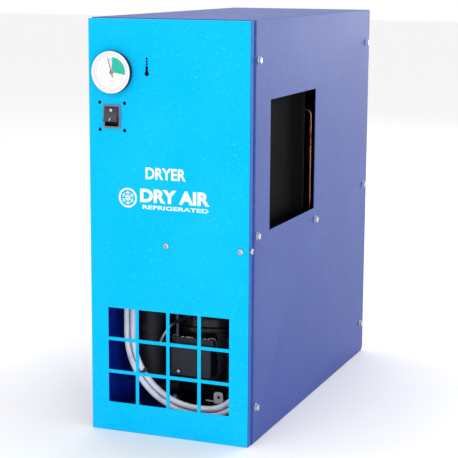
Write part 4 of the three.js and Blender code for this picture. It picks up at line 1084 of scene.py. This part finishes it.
# ---------------------------------------------------------------- lower compartment
class DRYER_OT_compressor(bpy.types.Operator):
    """Add the hermetic compressor, its feet and its terminal cover"""

    bl_idname = "dryer.compressor"
    bl_label = "Compressor"

    def execute(self, context):
        self.shells()
        for node in ("compressor_motor", "compressor_rotor"):
            skin(node, "winding", 0.3)
        skin("compressor_foot_plate", "enamel", 0.5)
        for side in ("front_left", "front_right", "rear_left", "rear_right"):
            self.grommet("grommet_" + side)
        self.terminal_cover()
        self.foot_clip()
        return {"FINISHED"}

    def shells(self):
        """Two drawn half shells welded at a flange, the upper one domed."""
        low, high = corners_mm("compressor_upper_shell")
        x, y = (low.x + high.x) / 2, (low.y + high.y) / 2
        flange = (high.x - low.x) / 2
        stretch = (high.y - low.y) / (high.x - low.x)
        r, seam, top = flange - 3, low.z, high.z
        dome = [(0, top), (24, top - 0.8), (42, top - 4.6), (53, top - 10.5), (62, top - 19), (69, top - 31)]
        dome = eased([*dome, (73, top - 44), (75, top - 51), (r, seam + 6)])
        outside = [
            *dome, (r, seam + 4.2), (r + 0.8, seam + 3.2), (flange - 0.4, seam + 2.9), (flange, seam + 2.3)
        ]
        inside = [
            (flange, seam), (r - 3, seam), (r - 7, top - 43), (r - 18, top - 20), (r - 38, top - 9),
            (0, top - 3.2),
        ]
        bm = lathe(bmesh.new(), [*outside, *inside], "z", (x, y, 0), 96, stretch)
        mesh = mesh_of("upper_shell", bm)
        piece("upper_shell", mesh, "enamel", "casing", ["compressor_upper_shell"])
        low, high = corners_mm("compressor_lower_shell")
        bottom, rim = low.z, high.z
        bowl = [
            (0, bottom), (r - 28, bottom + 0.2), (r - 15, bottom + 4), (r - 5.5, bottom + 13),
            (r - 1.5, bottom + 25),
        ]
        bowl = eased([*bowl, (r, bottom + 38), (r, rim - 8)])
        outside = [
            *bowl, (r, rim - 5.2), (r + 0.8, rim - 4.1), (flange - 0.4, rim - 3.7), (flange, rim - 3.1)
        ]
        inside = [
            (flange, rim), (r - 3, rim), (r - 3, bottom + 37), (r - 9, bottom + 15), (r - 28, bottom + 3.2),
            (0, bottom + 3.2),
        ]
        bm = lathe(bmesh.new(), [*outside, *inside], "z", (x, y, 0), 96, stretch)
        mesh = mesh_of("lower_shell", bm)
        piece("lower_shell", mesh, "enamel", "casing", ["compressor_lower_shell"])

    def grommet(self, node):
        low, high = corners_mm(node)
        x, y = (low.x + high.x) / 2, (low.y + high.y) / 2
        wide = (high.x - low.x) / 2
        profile = [
            (4, low.z), (wide - 1, low.z), (wide, low.z + 1.2), (wide, low.z + 4), (wide - 1.6, low.z + 5.4)
        ]
        profile += [
            (wide - 1.6, low.z + 7.2), (wide, low.z + 8.6), (wide, low.z + 14.6), (wide - 1.0, low.z + 15.8)
        ]
        profile += [(6.7, low.z + 16.2), (6.7, high.z - 0.8), (6.0, high.z), (4, high.z), (4, low.z)]
        bm = lathe(bmesh.new(), profile, "z", (x, y, 0), 40)
        piece(node + "_rubber", mesh_of(node, bm), "rubber", "casing", [node])
        stud = [
            (0, low.z + 0.4), (3.7, low.z + 0.4), (3.7, high.z + 4), (3.1, high.z + 4.8), (0, high.z + 4.8)
        ]
        bm = lathe(bmesh.new(), stud, "z", (x, y, 0), 24)
        under, over = high.z + 0.2, high.z + 1.4
        washer = [(3.8, under), (9.0, under), (9.0, over), (3.8, over), (3.8, under)]
        lathe(bm, washer, "z", (x, y, 0), 32)
        piece(node + "_stud", mesh_of(node + "_stud", bm), "zinc")

    def terminal_cover(self):
        """The moulded cover over the motor terminals, held by a bright spring wire."""
        skin("terminal_box", "terminal", 0.9, 3)
        low, high = corners_mm("terminal_box")
        bm = bmesh.new()
        y = low.y
        box(bm, (low.x + 3, y - 0.5, high.z - 11.5), (high.x - 3, y + 0.6, high.z - 10.3))
        box(bm, (low.x + 14, y - 0.7, low.z + 20), (high.x - 22, y + 0.6, low.z + 40))
        box(bm, (low.x + 3, y - 0.5, low.z + 4), (low.x + 4.2, y + 0.6, high.z - 11.5))
        made = piece("terminal_ribs", mesh_of("terminal_ribs", bm), "terminal")
        round_edges(made, 0.35)
        for side, edge in ((-1, low.x), (1, high.x)):
            path = [
                (edge + side * 2.2, high.y - 4, low.z + 22),
                (edge + side * 2.2, high.y - 10, high.z - 12),
                (edge + side * 1.2, high.y - 14, high.z + 0.6),
                (edge - side * 8.0, high.y - 14, high.z + 0.9),
            ]
            tube(f"terminal_spring_{side + 2}", flowing_path(path, 6), 0.9, "steel")
        bm = bmesh.new()
        for across, wide in ((13, 3.5), (20, 6), (27.5, 2.5), (41, 2), (46, 3.5), (52, 2.5)):
            box(
                bm, (low.x + across, high.y - 16.5, high.z - 0.2),
                (low.x + across + wide, high.y - 15.2, high.z + 0.7),
            )
        piece("terminal_clips", mesh_of("terminal_clips", bm), "stainless")
        self.terminal_screw(low)
        gland = [(2.4, 0), (6.4, 0), (6.4, 2.2), (5.8, 2.8), (4.8, 2.8), (4.8, 5.6), (4.0, 6.4), (2.4, 6.4)]
        turned("cable_gland", gland, "z", (low.x + 5.5, low.y + 14, high.z - 9), 32, "plastic")
        cable = [
            (low.x + 5.5, low.y + 14, high.z - 6),
            (low.x + 5.3, low.y + 14, high.z + 20),
            (low.x + 4.5, low.y + 14.5, high.z + 60),
            (low.x + 3, low.y + 15, high.z + 100),
            (low.x + 3, low.y + 15, high.z + 133),
        ]
        tube("motor_cable", flowing_path(cable, 8), 2.3, "grey wire")

    def terminal_screw(self, low):
        x, y, z = low.x + 12.5, low.y, low.z + 5.4
        seat = [(4.6, 0.4), (4.6, -0.7), (4.2, -1.0), (3.4, -1.0), (3.2, -0.6), (3.2, 0.4)]
        turned("terminal_screw_seat", seat, "y", (x, y, z), 32, "terminal")
        head = [(0, -0.7), (1.6, -0.65), (2.6, -0.3), (2.9, 0.3), (0, 0.3)]
        turned("terminal_screw", head, "y", (x, y, z), 28, "zinc")

    def foot_clip(self):
        """A white moulded clip with a hole, standing on the front right foot."""
        low, high = corners_mm("grommet_front_right")
        x, y, z = (low.x + high.x) / 2, (low.y + high.y) / 2, high.z + 1.6
        bm = bmesh.new()
        outline, hole = [], []
        count = 24
        for k in range(count):
            angle = tau * k / count
            hole.append((2.3 * cos(angle), 9.0 + 2.3 * sin(angle)))
            wide, tall = 7.0, 7.6
            bound = min(wide / max(abs(cos(angle)), 1e-6), tall / max(abs(sin(angle)), 1e-6))
            bound = min(bound, 8.6)
            outline.append((bound * cos(angle), 9.0 + bound * sin(angle)))
        front = y - 9.5
        sheets = []
        for depth in (front, front + 1.2):
            sheets.append(
                [[bm.verts.new(at(x + a, depth, z + b)) for a, b in ring] for ring in (outline, hole)]
            )
        for sheet in sheets:
            join_rings(bm, sheet[0], sheet[1], count)
        join_rings(bm, sheets[0][0], sheets[1][0], count)
        join_rings(bm, sheets[0][1], sheets[1][1], count)
        box(bm, (x - 6.5, front, z), (x + 6.5, y + 7, z + 1.2))
        box(bm, (x - 20, front + 2, z + 1.2), (x - 5, front + 5.5, z + 2.4))
        made = piece("foot_clip", mesh_of("foot_clip", bm), "bezel", smooth=40)
        return round_edges(made, 0.2)


class DRYER_OT_refrigerant(bpy.types.Operator):
    """Add the copper tubes, the insulated suction line, the drier and the bypass valve"""

    bl_idname = "dryer.refrigerant"
    bl_label = "Refrigerant circuit"

    def execute(self, context):
        low, high = corners_mm("discharge_tube")
        shell = middle_mm("compressor_upper_shell")
        r = 3.0
        gas_x, gas_y, gas_z = high.x - r, high.y - r, high.z - r
        core_low, core_high = corners_mm("condenser_core")
        route = [
            (core_low.x + 28, core_high.y + 0.3, gas_z),
            (core_low.x + 28, gas_y - 2, gas_z),
            (gas_x, gas_y - 2, gas_z),
            (gas_x, gas_y - 2, 100),
            (shell.x, gas_y, 100),
            (shell.x, low.y + 0.1, 100),
        ]
        tube("hot_gas_tube", bent_path(route, 10), r, "copper", stands_for=["discharge_tube"])
        low, high = corners_mm("liquid_tube")
        x = (low.x + high.x) / 2
        route = [(x, low.y, high.z - r), (x, high.y - r, high.z - r), (x, high.y - r, low.z)]
        tube("liquid_line", bent_path(route, 10), r, "copper", stands_for=["liquid_tube"])
        self.drier()
        self.suction()
        self.capillary()
        skin("bypass_valve", "brass", 0.4)
        return {"FINISHED"}

    def drier(self):
        low, high = corners_mm("filter_drier")
        x, y = (low.x + high.x) / 2, (low.y + high.y) / 2
        profile = [(0, 0), (3, 0), (3, 7), (4, 9), (8, 13), (9.7, 17), (10, 20), (9.6, 21.5), (10, 23)]
        profile += [(10, 67), (9.6, 68.5), (10, 70), (9.7, 73), (8, 77), (4, 81), (3, 83), (3, 90), (0, 90)]
        turned("drier_can", profile, "z", (x, y, low.z), 48, "copper", ["filter_drier"])

    def suction(self):
        """The suction tube in its foam sleeve, which has a glued seam and slightly crushed ends."""
        low, high = corners_mm("suction_tube")
        sleeve_low, sleeve_high = corners_mm("suction_insulation")
        x, y = (sleeve_low.x + sleeve_high.x) / 2, (sleeve_low.y + sleeve_high.y) / 2
        r = 5.0
        shell = middle_mm("compressor_lower_shell")
        half_width, half_depth, inward = 76, 88, 2.5
        angle = radians(-120)
        end_x = shell.x + (half_width - inward) * cos(angle)
        end_y = shell.y + (half_depth - inward) * sin(angle)
        top, inlet = high.z - r, low.z + r
        route = [(x, high.y, top), (x, y, top), (x, y, inlet), (end_x, end_y, inlet)]
        tube(
            "suction_line", bent_path(route, 14), r, "copper", stands_for=["suction_tube"],
            sides=20,
        )
        wrap = bent_path([(x, y, sleeve_low.z), (x, y, inlet), (end_x, end_y, inlet)], 14)
        tube("suction_tape", wrap, 6.4, "foam", sides=24)
        bm = bmesh.new()
        rng = random.Random(SEED)
        sides, rings = 72, []
        heights = [sleeve_low.z, sleeve_low.z + 0.8, sleeve_low.z + 3]
        while heights[-1] < sleeve_high.z - 6:
            heights.append(heights[-1] + 5.0)
        heights += [sleeve_high.z - 0.8, sleeve_high.z]
        phase = [rng.uniform(0, tau) for _ in range(3)]
        for z in heights:
            ring = []
            end = min(z - sleeve_low.z, sleeve_high.z - z)
            for k in range(sides):
                turn = tau * k / sides
                radius = 18.3 + 0.12 * sin(2 * turn + z / 40 + phase[0]) + 0.1 * sin(z / 17 + phase[1])
                radius -= 1.2 * max(0.0, 1 - end / 1.6)
                seam = abs((turn - radians(248) + pi) % tau - pi)
                radius -= 0.9 * max(0.0, 1 - seam / 0.06)
                ring.append(bm.verts.new(at(x + radius * cos(turn), y + radius * sin(turn), z)))
            rings.append(ring)
        for a, b in zip(rings, rings[1:]):
            join_rings(bm, a, b, sides)
        for ring, z in ((rings[0], sleeve_low.z), (rings[-1], sleeve_high.z)):
            inner = [
                bm.verts.new(at(x + 5.3 * cos(tau * k / sides), y + 5.3 * sin(tau * k / sides), z))
                for k in range(sides)
            ]
            join_rings(bm, ring, inner, sides)
            ring[:] = inner
        join_rings(bm, rings[0], rings[-1], sides)
        self.marks(x, y)
        mesh = mesh_of("foam_sleeve", bm)
        piece("foam_sleeve", mesh, "foam", "casing", ["suction_insulation"])

    def marks(self, x, y):
        """Three short red assembly dashes on the front of the sleeve."""
        bm = bmesh.new()
        for low, high, first, last in ((128, 136, 254, 257), (119, 121, 255, 257), (108, 112, 255, 259)):
            columns = []
            for turn in (radians(first), radians(last)):
                spot = (x + 18.65 * cos(turn), y + 18.65 * sin(turn))
                columns.append([bm.verts.new(at(*spot, z)) for z in (low, high)])
            (a, b), (c, d) = columns
            bm.faces.new([a, c, d, b])
        printed("sleeve_marks", bm, "red ink")

    def capillary(self):
        """The compressor's bright service stub and the thin capillary from the drier."""
        stub = [
            (108, 97, 148), (101, 84, 144), (92, 68, 139), (84.5, 61, 127.5), (79, 60.5, 116.5),
            (76.3, 60.5, 112),
        ]
        tube("service_stub", flowing_path(stub, 8), 2.4, "steel")
        low, high = corners_mm("filter_drier")
        x, y = (low.x + high.x) / 2, (low.y + high.y) / 2
        line = [(x, y, low.z + 1), (x, y, low.z - 8)]
        turns, radius = 5, 17.0
        for k in range(turns * 16 + 1):
            angle = tau * k / 16
            line.append((x - radius + radius * cos(angle), y + radius * sin(angle), low.z - 12 - 0.18 * k))
        line += [
            (x, y + 14, low.z - 24), (x - 40, y + 16, low.z + 20), (x - 66, y + 6, 240), (x - 70, y + 4, 262)
        ]
        tube("capillary", flowing_path(line, 2), 1.0, "copper", sides=6)


# ---------------------------------------------------------------- upper compartment
class DRYER_OT_condenser(bpy.types.Operator):
    """Add the finned condenser and its fan"""

    bl_idname = "dryer.condenser"
    bl_label = "Condenser and fan"

    def execute(self, context):
        self.low, self.high = corners_mm("condenser_core")
        self.bottom = self.low.z + 9.5
        self.fins(context.scene.dryer_casing.fin_pitch / MM)
        self.tubes()
        skin("fan_shroud", "zinc", 0.2)
        self.motor()
        self.impeller()
        return {"FINISHED"}

    def fins(self, pitch):
        """Thin upright plates between two thicker end plates."""
        bm = bmesh.new()
        low, high = self.low, self.high
        count = int((high.y - low.y - 6) / pitch)
        for k in range(count):
            y = low.y + 3 + (k + 0.5) * pitch
            box(bm, (low.x + 4, y - 0.12, self.bottom + 4), (high.x - 4, y + 0.12, high.z - 4))
        core = piece("fin_pack", mesh_of("fin_pack", bm), "fins", "casing", ["condenser_core"])
        bm = bmesh.new()
        for y in (low.y, high.y - 1.5):
            box(bm, (low.x, y, low.z), (high.x, y + 1.5, high.z))
        for z in (self.bottom, high.z - 1.2):
            box(bm, (low.x, low.y, z), (high.x, high.y, z + 1.2))
        plates = piece("condenser_plates", mesh_of("condenser_plates", bm), "fins")
        round_edges(plates, 0.3)
        return core

    def tubes(self):
        """Straight tubes through the fins with return bends outside the end plates."""
        low, high = self.low, self.high
        rows, columns = 9, 2
        pitch = (high.z - self.bottom - 16) / rows
        for column in range(columns):
            x = low.x + 13 + column * 18
            line = []
            for row in range(rows):
                z = self.bottom + 10 + row * pitch
                ends = (low.y - 3, high.y + 3) if row % 2 == 0 else (high.y + 3, low.y - 3)
                line += [(x, ends[0], z), (x, ends[1], z)]
            tube(f"condenser_tube_{column + 1}", bent_path(line, 7, 6), 3.4, "copper", sides=10)

    def motor(self):
        low, high = corners_mm("fan_motor")
        y, z = (low.y + high.y) / 2, (low.z + high.z) / 2
        length = high.x - low.x
        profile = [
            (3.1, 0), (27, 0), (31, 1.2), (32, 3), (32, 12), (31, 12.6), (31, length - 12.6),
            (32, length - 12),
        ]
        profile += [(32, length - 3), (31, length - 1.2), (27, length), (3.1, length), (3.1, 0)]
        bm = lathe(bmesh.new(), profile, "x", (low.x, y, z), 64)
        for k in range(24):
            angle = tau * k / 24
            place = (low.x, y + 31.3 * cos(angle), z + 31.3 * sin(angle))
            lathe(bm, [(0, 13.2), (0.7, 13.4), (0.7, length - 13.4), (0, length - 13.2)], "x", place, 6)
        piece(
            "fan_motor_case", mesh_of("fan_motor_case", bm), "plastic", "casing", ["fan_motor"],
        )

    def impeller(self):
        """Five pitched blades with rounded tips on a cup-shaped hub."""
        low, high = corners_mm("fan_impeller")
        y, z = (low.y + high.y) / 2, (low.z + high.z) / 2
        hub_x = 147.5
        bm = bmesh.new()
        hub = [
            (3.0, -3.0), (3.0, 0.0), (24.5, 0.0), (26.0, 1.2), (26.0, 13.5), (24.8, 15.4), (22.0, 16.0),
            (0, 16.0),
        ]
        lathe(bm, [(0, -41.0), (2.9, -41.0), (2.9, -3.0), *hub], "x", (hub_x, y, z), 64)
        for blade in range(5):
            self.blade(bm, (hub_x + 8, y, z), tau * blade / 5)
        body = BODY_OF["fan_impeller"]
        piece("impeller", mesh_of("impeller", bm), "steel", body, ["fan_impeller"])

    def blade(self, bm, middle, turn):
        spin = Matrix.Rotation(turn, 3, "X")
        sheets = []
        for face in (-0.7, 0.7):
            grid = []
            for i in range(9):
                radius = 24.0 + 58.5 * i / 8
                half = 15.0 + 7.0 * (i / 8) ** 0.7
                half *= 1.0 if i < 7 else (0.94 if i == 7 else 0.78)
                pitch = radians(68 - 60 * 0.25 * i / 8 - 30)
                row = []
                for j in range(9):
                    along = half * (2 * j / 8 - 1)
                    bow = 2.6 * (1 - (along / half) ** 2)
                    spot = Vector((along * sin(pitch) * 0.5 + face - bow, along * cos(pitch), radius))
                    row.append(bm.verts.new(at(*(Vector(middle) + spin @ spot))))
                grid.append(row)
            sheets.append(grid)
        for grid in sheets:
            for a, b in zip(grid, grid[1:]):
                for k in range(8):
                    bm.faces.new([a[k], a[k + 1], b[k + 1], b[k]])
        rims = []
        for grid in sheets:
            rims.append(
                grid[0] + [row[-1] for row in grid[1:]] + grid[-1][-2::-1] + [row[0] for row in grid[-2:0:-1]]
            )
        join_rings(bm, rims[0], rims[1], len(rims[0]))


class DRYER_OT_air_side(bpy.types.Operator):
    """Add the insulated heat exchanger, the separator and the air ports"""

    bl_idname = "dryer.air_side"
    bl_label = "Air side"

    def execute(self, context):
        skin("heat_exchanger", "foam", 2.5, 3)
        skin("moisture_separator", "stainless", 0.6)
        self.tape()
        for node in ("air_inlet_port", "air_outlet_port"):
            self.port(node)
        return {"FINISHED"}

    def tape(self):
        """Foam tape wound round the block over the joints of the sheets."""
        low, high = corners_mm("heat_exchanger")
        for k, z in enumerate((high.z - 60, high.z - 150)):
            bm = bmesh.new()
            box(bm, (low.x - 1.2, low.y - 1.2, z), (high.x + 1.2, high.y + 1.2, z + 38))
            for face in list(bm.faces):
                if abs(face.normal.z) > 0.5:
                    bm.faces.remove(face)
            upright = [e for e in bm.edges if abs(e.verts[0].co.z - e.verts[1].co.z) > 1e-5]
            bmesh.ops.bevel(bm, geom=upright, offset=12.5 * MM, segments=6, affect="EDGES")
            made = piece(f"foam_tape_{k + 1}", mesh_of("foam_tape", bm), "rubber", smooth=60)
            shell = made.modifiers.new("thickness", "SOLIDIFY")
            shell.thickness = 0.9 * MM

    def port(self, node):
        """A brass stub with a threaded bore, a hexagon and a raised rim."""
        low, high = corners_mm(node)
        x, z = (low.x + high.x) / 2, (low.z + high.z) / 2
        start_y, mouth, rear = low.y, high.y, DEPTH
        bm = bmesh.new()
        outside = [
            (0, start_y), (12, start_y), (12, rear + 12.4), (12, mouth - 9), (13.4, mouth - 9),
            (14, mouth - 8.4),
        ]
        outside += [(14, mouth - 0.8), (13.2, mouth), (9.4, mouth), (8.6, mouth - 0.9)]
        y = mouth - 1.2
        while y > start_y + 12:
            outside += [(8.6, y), (8.0, y - 0.6), (8.0, y - 0.9), (8.6, y - 1.5)]
            y -= 1.8
        outside += [(8.0, start_y + 8), (0, start_y + 8)]
        lathe(bm, outside, "y", (x, 0, z), 48)
        hexagon = [
            (12.1, rear + 0.3), (16.6, rear + 0.3), (18.47, rear + 1.4), (18.47, rear + 11.2),
            (16.6, rear + 12.3), (12.1, rear + 12.3),
        ]
        lathe(bm, hexagon, "y", (x, 0, z), 6)
        piece(node + "_brass", mesh_of(node, bm), "brass", "casing", [node], 30)


class DRYER_OT_drain(bpy.types.Operator):
    """Add the timed condensate drain, its hose and its outlet"""

    bl_idname = "dryer.drain"
    bl_label = "Condensate drain"

    def execute(self, context):
        skin("drain_valve", "brass", 0.5)
        skin("drain_timer", "plastic", 0.8, 3)
        skin("drain_interval_knob", "knob", 0.3)
        skin("drain_time_knob", "knob", 0.3)
        skin("drain_test_button", "knob", 0.4)
        skin("drain_outlet", "brass", 0.3)
        low, high = corners_mm("drain_hose")
        x = (low.x + high.x) / 2
        route = [
            (x, low.y, high.z - 4), (x, low.y + 27.7, high.z - 4), (x, high.y - 25.7, low.z + 4),
            (x, high.y, low.z + 4),
        ]
        tube(
            "hose", bent_path(route, 12), 4.0, "hose", stands_for=["drain_hose"], sides=18
        )
        return {"FINISHED"}


# ---------------------------------------------------------------- settings and panel
def distance(name, description, default, low, high, precision=2):
    return bpy.props.FloatProperty(
        name=name,
        description=description,
        default=default,
        min=low,
        max=high,
        precision=precision,
        subtype="DISTANCE",
        unit="LENGTH",
    )


def power(name, description, default):
    return bpy.props.FloatProperty(
        name=name, description=description, default=default, min=0.0, unit="POWER"
    )


def coat_colour(name, description, code):
    return bpy.props.FloatVectorProperty(
        name=name, description=description, subtype="COLOR", size=4, min=0.0, max=1.0, default=linear(code)
    )


class CasingSettings(bpy.types.PropertyGroup):
    front_colour: coat_colour("Front colour", "Powder coat of the front panel", "00b8ee")
    cover_colour: coat_colour("Cover colour", "Powder coat of the cover, rear panel and tray", "163a90")
    grain: bpy.props.FloatProperty(
        name="Coat grain",
        description="Size of the powder coat's texture in millimetres, a little coarser than the real 0.8",
        default=1.3,
        min=0.4,
        max=4.0,
    )
    fin_pitch: distance("Fin pitch", "Distance between two condenser fins", 0.0028, 0.0015, 0.01, 4)


class LeadSettings(bpy.types.PropertyGroup):
    diameter: distance("Diameter", "Outside diameter of the mains lead", 0.008, 0.005, 0.012, 4)
    length: distance("Length", "Length of the mains lead from its grip to its plug", 2.1, 1.0, 5.0)


class StageSettings(bpy.types.PropertyGroup):
    floor_size: distance("Floor size", "Edge length of the pale floor", 30.0, 2.0, 60.0)
    surround: bpy.props.FloatProperty(
        name="Surround",
        description="Brightness of the white surroundings",
        default=1.0,
        min=0.0,
        max=4.0,
    )
    key_power: power("Key", "Front light", 8.0)
    fill_power: power("Fill", "Low front light", 9.0)
    rear_power: power("Rear", "Light behind", 26.0)
    top_power: power("Top", "Light above", 16.0)


OPERATORS = (
    DRYER_OT_stage,
    DRYER_OT_mains_lead,
    DRYER_OT_front_panel,
    DRYER_OT_cover,
    DRYER_OT_frame,
    DRYER_OT_screws,
    DRYER_OT_thermometer,
    DRYER_OT_switch,
    DRYER_OT_compressor,
    DRYER_OT_refrigerant,
    DRYER_OT_condenser,
    DRYER_OT_air_side,
    DRYER_OT_drain,
)
GROUPS = {"dryer_casing": CasingSettings, "dryer_lead": LeadSettings, "dryer_stage": StageSettings}


class DRYER_PT_pieces(bpy.types.Panel):
    """Lists the dryer's settings and the pieces that can be built"""

    bl_idname = "DRYER_PT_pieces"
    bl_label = "Air Dryer"
    bl_space_type = "VIEW_3D"
    bl_region_type = "UI"
    bl_category = "Air Dryer"

    def draw(self, context):
        for name in GROUPS:
            group = getattr(context.scene, name)
            column = self.layout.column(align=True)
            for key in group.__annotations__:
                column.prop(group, key)
        for operator in OPERATORS:
            self.layout.operator(operator.bl_idname)


def register():
    for group in (*GROUPS.values(), *OPERATORS, DRYER_PT_pieces):
        bpy.utils.register_class(group)
    for name, group in GROUPS.items():
        setattr(bpy.types.Scene, name, bpy.props.PointerProperty(type=group))


def unregister():
    for name in GROUPS:
        delattr(bpy.types.Scene, name)
    for group in reversed((*GROUPS.values(), *OPERATORS, DRYER_PT_pieces)):
        bpy.utils.unregister_class(group)


def main():
    register()
    for operator in OPERATORS:
        package, name = operator.bl_idname.split(".")
        getattr(getattr(bpy.ops, package), name)()


if __name__ == "__main__":
    main()
